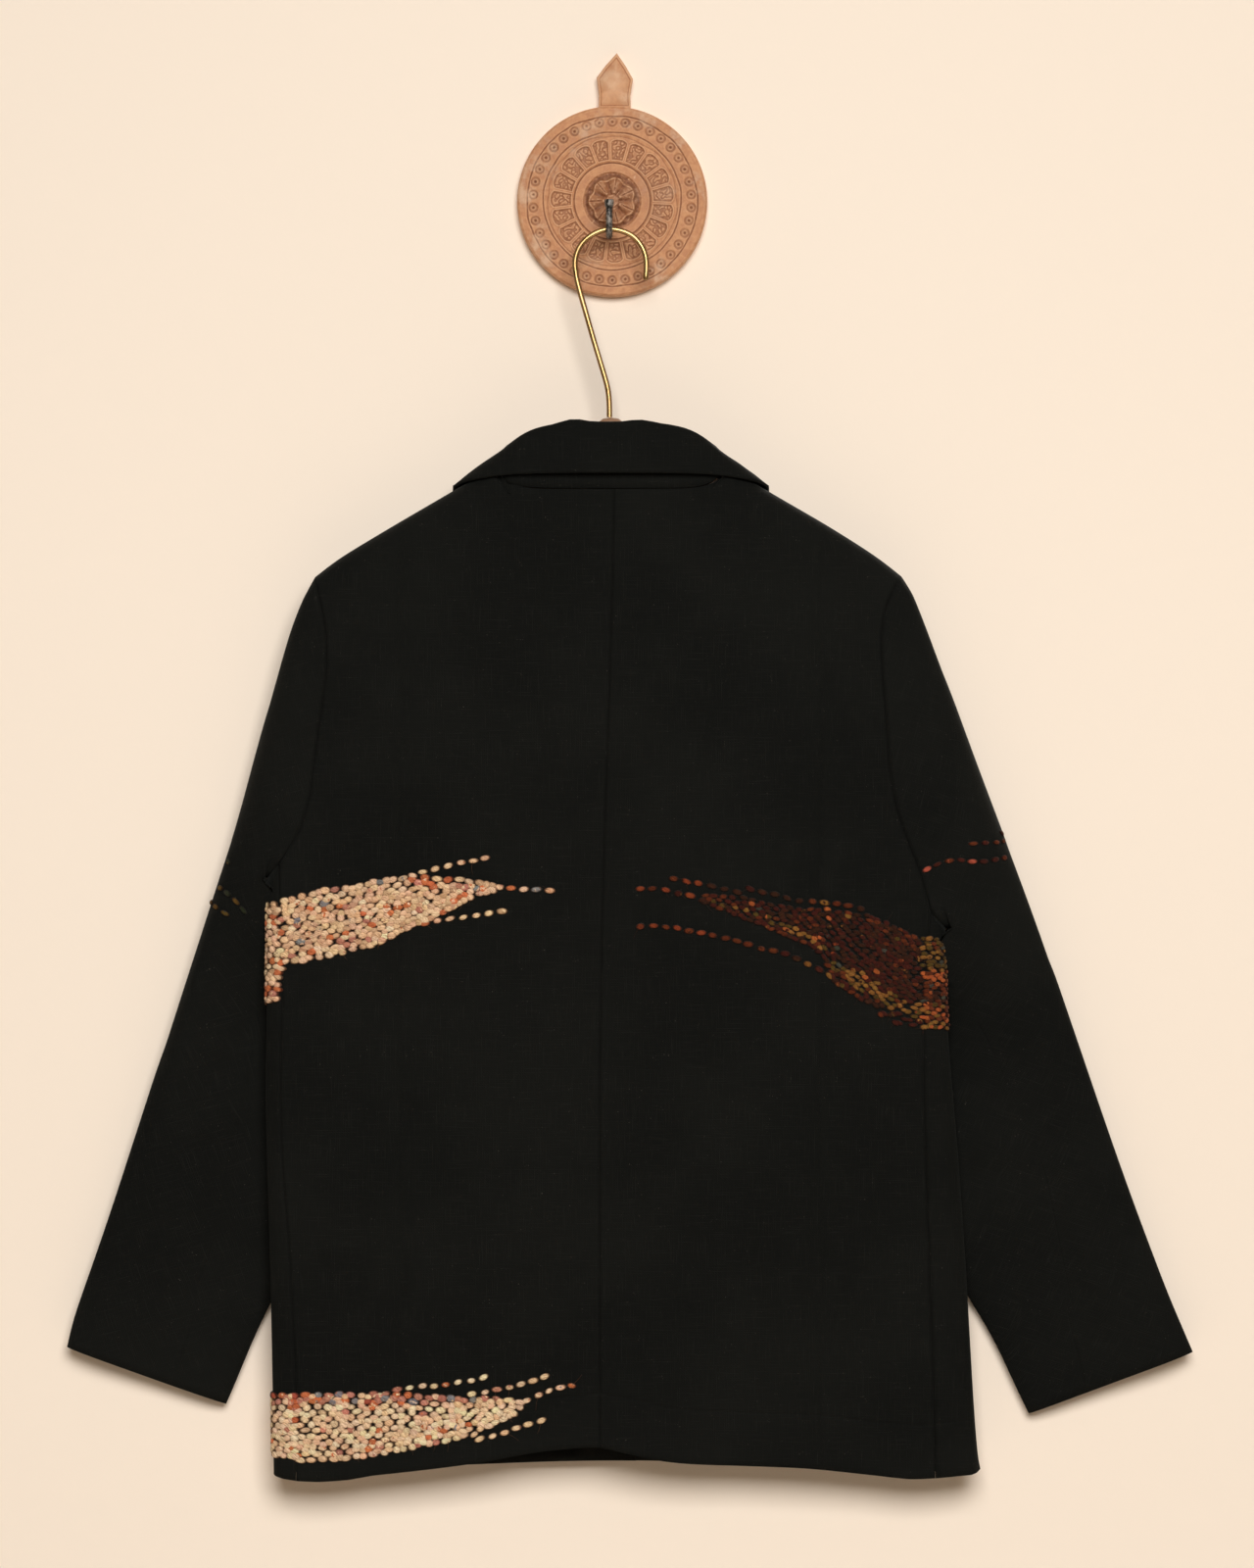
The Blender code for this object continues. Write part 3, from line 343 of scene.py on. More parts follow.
def yarn():
    """Thick soft yarn: two twisted strands, tinted by each stitch's own colours, with painted shade low on
    its flanks and at its ends.
    """
    kit = Finish("running_stitch_yarn", (0.7, 0.6, 0.45), 0.92)
    place = kit.add("ShaderNodeUVMap", uv_map="stitch").outputs["UV"]
    axes = kit.add("ShaderNodeSeparateXYZ", {0: place}).outputs
    tint = kit.mix(kit.span(kit.noise(330.0, 2.0), 0.60, 0.68), kit.surface("yarn", "Color"),
                   kit.surface("yarn_two", "Color"))
    turned = kit.maths("MULTIPLY", kit.maths("MULTIPLY_ADD", axes["Y"], 0.55, axes["X"]), 2 * math.pi)
    spread = kit.add("ShaderNodeCombineXYZ", {
        "X": kit.maths("MULTIPLY", kit.maths("SINE", turned), 1.5),
        "Y": kit.maths("MULTIPLY", kit.maths("COSINE", turned), 1.5),
        "Z": kit.maths("MULTIPLY", axes["Y"], 0.9)})
    moved = kit.add("ShaderNodeVectorMath", {0: kit.place(), 1: (45.0, 45.0, 45.0), 2: spread.outputs[0]},
                    operation="MULTIPLY_ADD")
    fibre = kit.noise(3.4, 4.0, moved.outputs[0], 0.65)
    tint = kit.mix(1.0, tint, (0.98, 0.90, 0.85), "MULTIPLY")
    dark = kit.mix(1.0, tint, (0.46, 0.38, 0.34), "MULTIPLY")
    pale = kit.mix(1.0, tint, (1.38, 1.35, 1.32), "MULTIPLY")
    # darker and paler fibres along the twist: the yarn's own fibre tones, the paler ones partly painted
    # highlights
    colour = kit.mix(kit.span(fibre, 0.36, 0.56), dark, tint)
    colour = kit.mix(kit.span(fibre, 0.56, 0.72, 0.0, 0.75), colour, pale)
    # painted shade: darker towards the stitch's ends, where the yarn dips into the cloth
    ends = kit.maths("ABSOLUTE", kit.maths("SUBTRACT", axes["Y"], 0.5))
    colour = kit.mix(kit.span(ends, 0.34, 0.5, 0.0, 0.7), colour, dark)
    # painted shade: darker low on the stitch's flanks, by its rise, where the cloth and its neighbours shade
    # it
    shade = kit.mix(1.0, colour, (0.16, 0.12, 0.10), "MULTIPLY")
    kit.paint(kit.mix(kit.span(kit.surface("rise"), 0.06, 0.36), shade, colour))
    kit.bump(fibre, 0.7, 0.0008)
    kit.bump(kit.noise(1500.0, 3.0), 0.5, 0.0003)
    kit.set({"Sheen Weight": 0.05, "Sheen Roughness": 0.5, "Sheen Tint": (1.0, 0.90, 0.78, 1.0),
             "Specular IOR Level": 0.10})
    return kit.material


def patterned(name, colours, scale, stretch, roughness, strength, depth, metallic=0.0):
    """Two-tone surface noise in real measure, for wood, iron, brass, horn and the plaque."""
    kit = Finish(name, colours[0], roughness[0], metallic)
    place = kit.add("ShaderNodeMapping", {"Scale": stretch, "Vector": kit.place()}).outputs["Vector"]
    grain = kit.noise(scale, 5.0, place, 0.6, 0.4)
    colour = kit.mix(kit.span(grain, 0.36, 0.66), *colours[:2])
    broad = kit.noise(scale * 0.16, 2.0, place)
    kit.paint(kit.mix(kit.span(broad, 0.45, 0.7, 0.0, 0.6), colour, colours[2]))
    kit.set({"Roughness": kit.span(grain, 0.3, 0.7, *roughness)})
    kit.bump(grain, strength, depth)
    return kit


# cloth
# an edge sharper than this angle, in degrees, is the cut rim of a cage's wall or of a finished one
RIM_ANGLE, FINE_RIM_ANGLE = 48.0, 60.0
# a rim's vertex bent more sharply than this angle, in degrees, is a corner
CORNER_ANGLE = 140.0
# sewn edges come together from this far; in the middle, up to MIDDLE_OUT, each back moves this much
# towards the other; all in millimetres
SEAM_REACH, MIDDLE_OUT, MIDDLE_SHIFT = 1.1, 9.5, 0.15


def cad_copy(node):
    """The node's mesh with its doubles merged and most triangles joined in pairs."""
    mesh = bmesh.new()
    mesh.from_mesh(bpy.data.objects[node].data)
    bmesh.ops.remove_doubles(mesh, verts=mesh.verts, dist=0.01 * MM)
    bmesh.ops.join_triangles(mesh, faces=mesh.faces, angle_face_threshold=math.radians(50),
                             angle_shape_threshold=math.radians(70), topology_influence=0.0)
    return mesh


def is_rim(edge, angle=RIM_ANGLE):
    return len(edge.link_faces) == 2 and edge.calc_face_angle(0.0) > math.radians(angle)


def kd_tree(points):
    tree = kdtree.KDTree(len(points))
    for k, point in enumerate(points):
        tree.insert(point, k)
    tree.balance()
    return tree


def apply_modifiers(obj):
    """Puts the evaluated mesh in the object and clears its modifiers."""
    graph = bpy.context.evaluated_depsgraph_get()
    data = bpy.data.meshes.new_from_object(obj.evaluated_get(graph), preserve_all_data_layers=True,
                                           depsgraph=graph)
    obj.modifiers.clear()
    old = obj.data
    obj.data = data
    bpy.data.meshes.remove(old)
    data.name = obj.name


def refined(name, mesh, levels, pinned=()):
    """A smooth copy of a cloth wall, its cut edges and pinned corners kept crisp."""
    crease = mesh.edges.layers.float.new("crease_edge")
    corner = mesh.verts.layers.float.new("crease_vert")
    for edge in mesh.edges:
        if is_rim(edge):
            edge[crease] = 1.0
    for vert in mesh.verts:
        rims = [e for e in vert.link_edges if e[crease] > 0.5]
        if len(rims) >= 3 or vert.index in pinned:
            vert[corner] = 1.0
        elif len(rims) == 2:
            a, b = (e.other_vert(vert).co - vert.co for e in rims)
            if a.length and b.length and a.angle(b) < math.radians(CORNER_ANGLE):
                vert[corner] = 1.0
    obj = add_object(name, mesh)
    divide = obj.modifiers.new("finer", "SUBSURF")
    divide.levels = divide.render_levels = levels
    apply_modifiers(obj)
    obj.data.shade_smooth()
    return obj


def close_seams(cages):
    """Brings sewn edges together: each pair meets halfway. Returns the corners where three pieces meet."""
    spots = []
    for name, mesh in cages.items():
        mesh.verts.index_update()
        spots += [(name, v) for v in {v for e in mesh.edges if is_rim(e) for v in e.verts}]
    tree = kd_tree([v.co for _, v in spots])
    moves = []
    pinned = {name: set() for name in cages}
    for name, v in spots:
        mates = [k for _, k, _ in tree.find_range(v.co, SEAM_REACH * MM) if spots[k][0] != name]
        if len({spots[k][0] for k in mates}) > 1:
            pinned[name].add(v.index)
        if mates:
            near = min((spots[k][1].co for k in mates), key=lambda co: (co - v.co).length)
            moves.append((v, (v.co + near) / 2))
        elif name in ("back_left", "back_right") and abs(v.co.x) < MIDDLE_OUT * MM:
            shift = MIDDLE_SHIFT * (1 if name == "back_left" else -1)
            moves.append((v, v.co + Vector((shift * MM, 0, 0))))
    for v, place in moves:
        v.co = place
    return pinned


# z, how far out the sleeve's inner fold lies, and where the cloth is to lie
TUCKS = {
    "left": [(-470, 249.5, 249.5), (-478, 249.5, 247.0), (-485.5, 249.5, 242.2), (-496, 250, 241.8),
             (-518, 249.3, 242.4), (-541, 246.5, 242.5), (-570, 240, 238), (-606, 228, 227.5),
             (-640, 215, 215)],
    "right": [(-498, 243, 242.5), (-505, 243, 240), (-521.5, 243.8, 236.0), (-532, 244.5, 235.4),
              (-551, 243.6, 235.2), (-573, 241, 236), (-598, 233, 231), (-640, 220, 220)],
}
# how far past its inner fold a sleeve's cloth moves along, and over what length that fades
TUCK_REACH, CLOSE_REACH, REACH_FADE = 22.0, 24.0, 20.0
# the sleeve's stretch under the underarm: its top and its low end
UNDERARM = {"left": (-476.0, -562.0), "right": (-504.0, -584.0)}
UNDERARM_OVERLAP, UNDERARM_FADE = 5.0, 9.0
# the bands, and the margin over and under the stretch, in which the inner fold is looked for
FOLD_BAND, FOLD_MARGIN = 6.0, 8.0


def tuck_sleeve(mesh, side, held):
    """Lays the sleeve's inner fold against the body's side and in behind it."""
    table = TUCKS[side]
    for v in mesh.verts:
        z, out = v.co.z / MM, v.co.x * SIGN[side] / MM
        if z > table[0][0] or z < table[-1][0] or v in held:
            continue
        fold = read_line([(r[0], r[1]) for r in table], z)
        shift = fold - read_line([(r[0], r[2]) for r in table], z)
        v.co.x -= SIGN[side] * shift * smooth((fold + TUCK_REACH - out) / REACH_FADE) * MM


def close_underarm(obj, side):
    """Draws the sleeve's inner fold in behind the body's side just below the underarm."""
    top, low = UNDERARM[side]
    places = [(v, v.co.z / MM, v.co.x * SIGN[side] / MM) for v in obj.data.vertices]
    inner = {}
    for _, z, out in places:
        if low - FOLD_MARGIN < z < top + FOLD_MARGIN:
            key = round(z / FOLD_BAND) * FOLD_BAND
            inner[key] = min(inner.get(key, math.inf), out)
    folds = sorted(inner.items())
    for v, z, out in places:
        if low < z < top:
            fold = read_line(folds, z)
            shift = max(0.0, fold - read_line(SIDE_EDGE[side], z) + UNDERARM_OVERLAP)
            shift *= smooth((top - z) / UNDERARM_FADE)
            v.co.x -= SIGN[side] * shift * smooth((fold + CLOSE_REACH - out) / REACH_FADE) * MM


def rim_lines(obj):
    """Sharp edges of a finished wall, as pairs of points."""
    mesh = bmesh.new()
    mesh.from_mesh(obj.data)
    lines = [(e.verts[0].co.copy(), e.verts[1].co.copy()) for e in mesh.edges if is_rim(e, FINE_RIM_ANGLE)]
    mesh.free()
    return lines


# the map is carried round the sides, beyond this x and from this y in metres, by this share of the depth
MAP_SIDE, MAP_MIDDLE, MAP_DEPTH = 0.15, -0.022, 1.3
# distances in metres over which a seam and a hem's fold no longer count
FAR_SEAM, FAR_HEM = 0.01, 0.02
HEM_HEIGHT = 38.0


def cloth_map(obj, turn):
    """The cloth's own map in metres, turned with the grain and carried round the sides."""
    layer = obj.data.uv_layers.new(name="cloth")
    cos, sin = math.cos(turn), math.sin(turn)
    places = []
    for vert in obj.data.vertices:
        x, y, z = vert.co
        side = math.copysign(1.0, x) if abs(x) > MAP_SIDE else 0.0
        places.append((x * cos - z * sin + side * MAP_DEPTH * (y - MAP_MIDDLE), x * sin + z * cos))
    for loop in obj.data.loops:
        layer.data[loop.index].uv = places[loop.vertex_index]


def seam_distances(obj, low, out, route):
    """Each vertex's distance to the nearest seam: a rim above low and beyond out, or the route."""
    points = []
    for a, b in rim_lines(obj):
        middle = (a + b) / 2
        if middle.z > low and abs(middle.x) > out:
            points += [a.lerp(b, k / 4) for k in range(4)]
    for a, b in zip(route, route[1:]):
        steps = max(2, int((b - a).length / 0.0006))
        points += [a.lerp(b, k / steps) for k in range(steps)]
    tree = kd_tree(points)
    store(obj.data, "seam", [min(tree.find(v.co)[2], FAR_SEAM) for v in obj.data.vertices])


# x, z: the hem's line along the back
BACK_HEM = [(-265, -909), (-242, -911), (-216, -915.6), (-191, -914), (-156, -911), (-100, -904),
            (-83, -901.6), (-44, -894.6), (-8, -891), (16, -895), (40, -901), (67, -903.7),
            (148, -906.5), (189, -912), (222, -914), (262, -910)]


def hem_distances(obj):
    """Signed height above the hem's sewn fold."""
    values = []
    for vert in obj.data.vertices:
        fold = read_line(BACK_HEM, vert.co.x / MM) + HEM_HEIGHT
        values.append(max(-FAR_HEM, min(FAR_HEM, vert.co.z - fold * MM)))
    store(obj.data, "hem_fold", values)


def line_height(x, z, route, half_width, size):
    """Height of one crease: a ridge or trough along a route, fading at its ends."""
    best, share = 1e9, 0.0
    total = sum(math.dist(a, b) for a, b in zip(route, route[1:]))
    gone = 0.0
    for a, b in zip(route, route[1:]):
        step = math.dist(a, b)
        t = ((x - a[0]) * (b[0] - a[0]) + (z - a[1]) * (b[1] - a[1])) / (step * step)
        t = min(max(t, 0.0), 1.0)
        gap = math.dist((x, z), (a[0] + (b[0] - a[0]) * t, a[1] + (b[1] - a[1]) * t))
        if gap < best:
            best, share = gap, (gone + t * step) / total
        gone += step
    return size * bump(best, half_width) * smooth(share / 0.3) * smooth((1.0 - share) / 0.3)


# soft folds of the back and the fronts: route in x and z, half width, height
BACK_CREASES = [
    ([(56, -640), (56, -780), (58, -895)], 26, 1.8),
    ([(92, -640), (94, -780), (96, -900)], 20, -1.6),
    ([(127, -600), (126, -760), (124, -900)], 24, 1.8),
    ([(178, -560), (180, -740), (180, -905)], 22, -1.6),
    ([(161, -560), (163, -575), (166, -590)], 9, -0.7),
    ([(-60, -700), (-66, -800), (-70, -900)], 34, -1.4),
    ([(-150, -640), (-152, -760), (-156, -905)], 30, 1.4),
    ([(-200, -300), (-172, -350), (-120, -410)], 16, 0.9),
    ([(-196, -360), (-160, -430), (-118, -500)], 20, -0.8),
    ([(190, -320), (150, -380), (110, -430)], 18, 0.9),
    ([(196, -400), (160, -450), (120, -480)], 18, -0.8),
]
FRONT_CREASES = [
    ([(-150, -560), (-146, -720), (-150, -895)], 34, 1.6),
    ([(-70, -520), (-60, -700), (-66, -890)], 30, -1.2),
    ([(140, -560), (146, -720), (144, -895)], 34, 1.5),
    ([(60, -530), (64, -700), (60, -890)], 26, -1.2),
    ([(-190, -330), (-150, -400), (-100, -460)], 18, 1.0),
    ([(180, -340), (150, -410), (104, -470)], 18, 1.0),
]
# a body's folds fade to its side fold, whose out is given, and begin at this height
SIDE_OUT = {"left": 246.0, "right": 243.0}
SIDE_FADE, BODY_TOP, SLEEVE_TOP, TOP_FADE = 26.0, 205.0, 300.0, 60.0
# slow unevenness: its height, its changes per millimetre across and up, and its seed
BODY_WAVE, SLEEVE_WAVE = (0.8, 0.012, 0.007, 3.0), (1.0, 0.015, 0.011, 5.0)
# a sleeve's folds need this much depth, in metres, grow over that much more, and are weaker in front
SLEEVE_DEPTH, SLEEVE_GROWTH, FRONT_SHARE = 0.006, 0.012, 0.6


def folded(x, z, creases, wave, face, share=1.0):
    """Height of the cloth's creases and slow unevenness at x and z, in millimetres."""
    height, across, up, seed = wave
    creased = sum(line_height(x, z, *crease) for crease in creases) * share
    return creased + height * noise.noise(Vector((x * across, z * up, seed * face)))


def fold_body(obj, creases, face, edge_out):
    """Moves a panel's cloth along y by its folds, less at the side fold."""
    for vert in obj.data.vertices:
        x, z = vert.co.x / MM, vert.co.z / MM
        held = smooth((edge_out - abs(x)) / SIDE_FADE) * smooth((abs(z) - BODY_TOP) / TOP_FADE)
        if held > 0.0:
            vert.co.y += face * folded(x, z, creases, BODY_WAVE, face) * held * MM


# out, and how far the hem's edge goes up there, on each panel
HEM_SHIFTS = {
    "back_left": [(170, 0.0), (188, -1.5), (209, -1.6), (225, -1.0)],
    "front_left": [(225, -4.2), (235, -2.9), (240, -1.4), (242.4, 0.4)],
    "back_right": [(190, 0.0), (214, -1.0), (232, -0.5)],
    "front_right": [(232, -2.9), (249, -1.4), (258, -0.8), (262, 0.6), (265, 3.0)],
}
# the part of the shift that also reaches the panel's front half
CORNER_SHIFTS = {
    "front_left": [(238, 0.0), (242.4, 0.4)],
    "front_right": [(257, 0.0), (262, 0.8), (265, 3.0)],
}
HEM_TOP, HEM_FADE, HEM_BACK_Y = -868.0, 38.0, -33.0


def shape_hem(obj, node):
    """Draws the hem's line down at the side seams and rounds its corners."""
    for vert in obj.data.vertices:
        x, y, z = vert.co / MM
        low = smooth((HEM_TOP - z) / HEM_FADE)
        if low > 0.0:
            table = HEM_SHIFTS[node] if y < HEM_BACK_Y else CORNER_SHIFTS.get(node, [(0, 0.0)])
            vert.co.z += read_line(table, abs(x)) * low * MM


# x and height of the collar's two lifts, their half width, where they begin and how soon they are whole
COLLAR_LIFTS, LIFT_WIDTH = [(-27.0, 2.3), (21.0, 1.6)], 17.0
COLLAR_LOW, COLLAR_FADE = -178.0, 14.0


def shape_collar(obj):
    """Lifts the collar's fold a little on both sides of the hanger's neck."""
    for vert in obj.data.vertices:
        x, _, z = vert.co / MM
        lift = sum(size * bump(x - place, LIFT_WIDTH) for place, size in COLLAR_LIFTS)
        vert.co.z += lift * smooth((z - COLLAR_LOW) / COLLAR_FADE) * MM


SLEEVE_CREASES = {
    "left": [
        ([(-262, -470), (-300, -560), (-330, -660)], 22, 2.0),
        ([(-240, -560), (-262, -600), (-300, -640)], 12, -1.6),
        ([(-232, -620), (-262, -650), (-306, -668)], 13, 1.8),
        ([(-250, -640), (-280, -672), (-316, -690)], 10, -1.3),
        ([(-300, -720), (-325, -780), (-345, -830)], 16, 1.2),
    ],
    "right": [
        ([(252, -560), (262, -640), (256, -676)], 16, 1.2),
        ([(236, -672), (258, -680), (300, -676)], 12, 2.2),
        ([(240, -697), (262, -702), (300, -700)], 11, -2.0),
        ([(262, -430), (290, -540), (320, -650)], 24, 1.6),
        ([(330, -720), (352, -780), (372, -830)], 18, 1.2),
    ],
}
# places of each sleeve's back seam, in the photograph's pixels
SLEEVE_SEAMS = {
    "right": [(1000, 1046), (1015, 1080), (1035, 1127), (1067, 1200), (1089, 1310), (1110, 1425)],
    "left": [(268, 950), (262, 1040), (246, 1120), (224, 1220), (196, 1330), (176, 1410)],
}


def fold_sleeve(obj, side):
    """Elbow folds and unevenness; the back half moves out of the back, the front half forward."""
    mesh = obj.data
    mesh.update()
    tree = surface_tree(obj)
    for vert in mesh.vertices:
        x, z = vert.co.x / MM, vert.co.z / MM
        back, front = (cast(tree, vert.co.x, vert.co.z, face)[0] for face in (-1, 1))
        if back is None or front is None:
            continue
        face = -1 if vert.co.y < (front.y + back.y) / 2 else 1
        held = smooth((front.y - back.y - SLEEVE_DEPTH) / SLEEVE_GROWTH)
        held *= smooth((-z - SLEEVE_TOP) / TOP_FADE)
        height = folded(x, z, SLEEVE_CREASES[side], SLEEVE_WAVE, face, 1.0 if face < 0 else FRONT_SHARE)
        vert.co.y += face * height * held * MM
    mesh.update()


def sleeve_seam(obj, side):
    """The sleeve's back seam on its surface."""
    tree = surface_tree(obj)
    spots = [at_px(*p) for p in SLEEVE_SEAMS[side]]
    hits = [cast(tree, x * MM, z * MM, -1)[0] for x, z in spots]
    return [hit for hit in hits if hit is not None]


# each cloth node's cut in metres and what it hangs on
SHEETS = {
    "back_left": ((0.262, 0.72), "hanger_body"), "back_right": ((0.262, 0.72), "hanger_body"),
    "front_left": ((0.330, 0.72), "hanger_body"), "front_right": ((0.330, 0.72), "hanger_body"),
    "sleeve_left": ((0.33, 0.60), "cloth_front_left"), "sleeve_right": ((0.35, 0.61), "cloth_front_right"),
    "lapel_left": ((0.07, 0.19), "cloth_front_left"), "lapel_right": ((0.07, 0.27), "cloth_front_right"),
    "collar": ((0.42, 0.085), "hanger_body"),
}
# z above which, and x beyond which, a rim of a part is sewn, in metres; cloth above ARMHOLE_Z is held there
SEWN = {"back": (-0.885, -1.0), "front": (-0.885, 0.08), "sleeve": (-0.535, -1.0)}
ARMHOLE_Z = -0.535
# turn of the sleeves' grain, in degrees
GRAIN = {"left": -15.0, "right": 17.0}


def cloth_pieces(finish):
    """Every wall of the coat as a finer sheet with its folds, map and seams."""
    made = {}
    cages = {node: cad_copy(node) for node in SHEETS}
    pinned = close_seams(cages)
    for side in SIGN:
        mesh = cages[f"sleeve_{side}"]
        tuck_sleeve(mesh, side, {v for e in mesh.edges if is_rim(e) for v in e.verts if v.co.z > ARMHOLE_Z})
    for side in SIGN:
        for part, levels in (("back", 3), ("front", 2), ("sleeve", 2), ("lapel", 2)):
            node = f"{part}_{side}"
            corners = () if part == "lapel" else pinned[node]
            made[node] = refined(f"cloth_{node}", cages[node], levels, corners)
        for part, creases, face in (("back", BACK_CREASES, -1), ("front", FRONT_CREASES, 1)):
            fold_body(made[f"{part}_{side}"], creases, face, SIDE_OUT[side])
            shape_hem(made[f"{part}_{side}"], f"{part}_{side}")
        fold_sleeve(made[f"sleeve_{side}"], side)
        close_underarm(made[f"sleeve_{side}"], side)
    made["collar"] = refined("cloth_collar", cages["collar"], 2)
    shape_collar(made["collar"])
    for node, obj in made.items():
        part, side = (node + "_").split("_")[:2]
        cloth_map(obj, math.radians(GRAIN[side] if part == "sleeve" else 0.0))
        if part in SEWN:
            seam_distances(obj, *SEWN[part], sleeve_seam(obj, side) if part == "sleeve" else [])
        else:
            store(obj.data, "seam", [FAR_SEAM] * len(obj.data.vertices))
        if part in ("back", "front"):
            hem_distances(obj)
        else:
            store(obj.data, "hem_fold", [FAR_HEM] * len(obj.data.vertices))
        finish_piece(obj, node, finish)
    for node, (flat, rest) in SHEETS.items():
        obj = made[node]
    return made


# yarn stitches
# least and most length, width and height of a stitch in millimetres, in loose rows and in fields
YARN_SIZES = {
    "loose": ((6.6, 8.8), (3.8, 4.9), (2.6, 3.2)),
    "fine": ((5.6, 8.0), (3.0, 4.2), (2.3, 3.2)),
    "plump": ((6.8, 9.8), (4.3, 6.2), (2.8, 4.2)),
    "sleeve": ((6.2, 8.2), (3.2, 4.2), (2.2, 2.8)),
}
# how far a stitch's middle stands off the cloth, and its greatest slant
STITCH_LIFT, SLANT = 0.5, 0.26
# from stitch to stitch in a front field, and in a loose row of the back, of a front and of a sleeve
STITCH_STEP, ROW_STEP, FRONT_ROW_STEP, SLEEVE_ROW_STEP = 4.0, 9.0, 9.4, 8.8
# how far in from both ends of its line a field's columns, a row and a sleeve's row begin and end
FIELD_ENDS, ROW_ENDS, SLEEVE_ROW_ENDS = (1.5, 1.0), (2.5, 1.5), (2.0, 1.0)
# a hole is filled where no stitch lies this near along the row and, in pitches, across it; how far
# from the field's edges that stays, and the steps of the search
HOLE_ALONG, HOLE_ACROSS, EDGE_INSET = 4.3, 0.66, 1.2
SEARCH_ALONG, SEARCH_UP = 1.3, 0.9
# the angles of a loose thread's three sides, its rings, and its radius at its start and how much it loses
THREAD_ANGLES, THREAD_RINGS = (0.0, 2.09, 4.19), 6
THREAD_RADIUS, THREAD_TAPER = 0.20, 0.09


def stitch_tree(finish):
    """Yarn ovals on points: each reads its own turn and size, and passes on its colour."""
    tree = bpy.data.node_groups.new("running stitches", "GeometryNodeTree")
    face = tree.interface
    face.new_socket("Geometry", in_out="INPUT", socket_type="NodeSocketGeometry")
    for name, value in (("Yarn Radius", 0.5), ("End Droop", 0.9)):
        face.new_socket(name, in_out="INPUT", socket_type="NodeSocketFloat").default_value = value
    face.new_socket("Geometry", in_out="OUTPUT", socket_type="NodeSocketGeometry")

    def add(kind, values=None, **settings):
        return add_node(tree, "GeometryNode" + kind, values, **settings).outputs

    inside = tree.nodes.new("NodeGroupInput").outputs
    ball = add("MeshUVSphere", {"Segments": 8, "Rings": 8, "Radius": inside["Yarn Radius"]})
    keep = add("StoreNamedAttribute", {"Name": "stitch", "Geometry": ball["Mesh"], "Value": ball["UV Map"]},
               data_type="FLOAT2", domain="CORNER")
    lay = add("Transform", {"Rotation": (0.0, math.pi / 2, 0.0), "Geometry": keep["Geometry"]})
    axes = add_node(tree, "ShaderNodeSeparateXYZ", {0: add("InputPosition")[0]}).outputs
    square = math_node(tree, "MULTIPLY", axes["X"], axes["X"])
    drop = math_node(tree, "MULTIPLY", square, math_node(tree, "MULTIPLY", inside["End Droop"], -1.0))
    sag = add("SetPosition", {"Geometry": lay["Geometry"],
                              "Offset": add_node(tree, "ShaderNodeCombineXYZ", {"Z": drop}).outputs[0]})
    # rise: each vertex's height above the cloth, from which the yarn paints shade low on the stitch
    lift = add("StoreNamedAttribute", {"Name": "rise", "Geometry": sag["Geometry"], "Value": axes["Z"]},
               data_type="FLOAT", domain="POINT")
    turn, size = (add("InputNamedAttribute", {"Name": name}, data_type="FLOAT_VECTOR")["Attribute"]
                  for name in ("turn", "size"))
    spread = add("InstanceOnPoints", {
        "Points": inside["Geometry"], "Instance": lift["Geometry"], "Scale": size,
        "Rotation": add_node(tree, "FunctionNodeEulerToRotation", {0: turn}).outputs[0]})
    whole = add("RealizeInstances", {"Geometry": spread["Instances"]})
    soft = add("SetShadeSmooth", {0: whole["Geometry"]})
    paint = add("SetMaterial", {"Material": finish, "Geometry": soft[0]})
    add_node(tree, "NodeGroupOutput", {"Geometry": paint["Geometry"]})
    return tree


def stitched(name, tree, stitches):
    """One mesh of stitches from (place, normal, direction, size, colour) rows."""
    data = bpy.data.meshes.new(name)
    data.from_pydata([row[0] for row in stitches], [], [])
    obj = link_object(name, data)
    turns, sizes, colours, seconds = [], [], [], []
    rng = random.Random(name)
    for _, normal, along, size, colour in stitches:
        along = (along - normal * along.dot(normal)).normalized()
        turns += list(Matrix((along, normal.cross(along), normal)).transposed().to_euler())
        sizes += size
        colours += [*colour, 1.0]
        seconds += [*stitches[rng.randrange(len(stitches))][4], 1.0]
    store(data, "yarn_two", seconds, "FLOAT_COLOR", "color")
    store(data, "turn", turns, "FLOAT_VECTOR", "vector")
    store(data, "size", sizes, "FLOAT_VECTOR", "vector")
    store(data, "yarn", colours, "FLOAT_COLOR", "color")
    obj.modifiers.new("stitches", "NODES").node_group = tree
    apply_modifiers(obj)
    for spare in ("turn", "size"):
        if spare in obj.data.attributes:
            obj.data.attributes.remove(obj.data.attributes[spare])
    return obj


def yarn_size(rng, kind):
    """Length, width and height of one stitch."""
    return [rng.uniform(*limits) * MM for limits in YARN_SIZES[kind]]


def stitch_kind(side, loose):
    return "loose" if loose else "fine" if side == "right" else "plump"


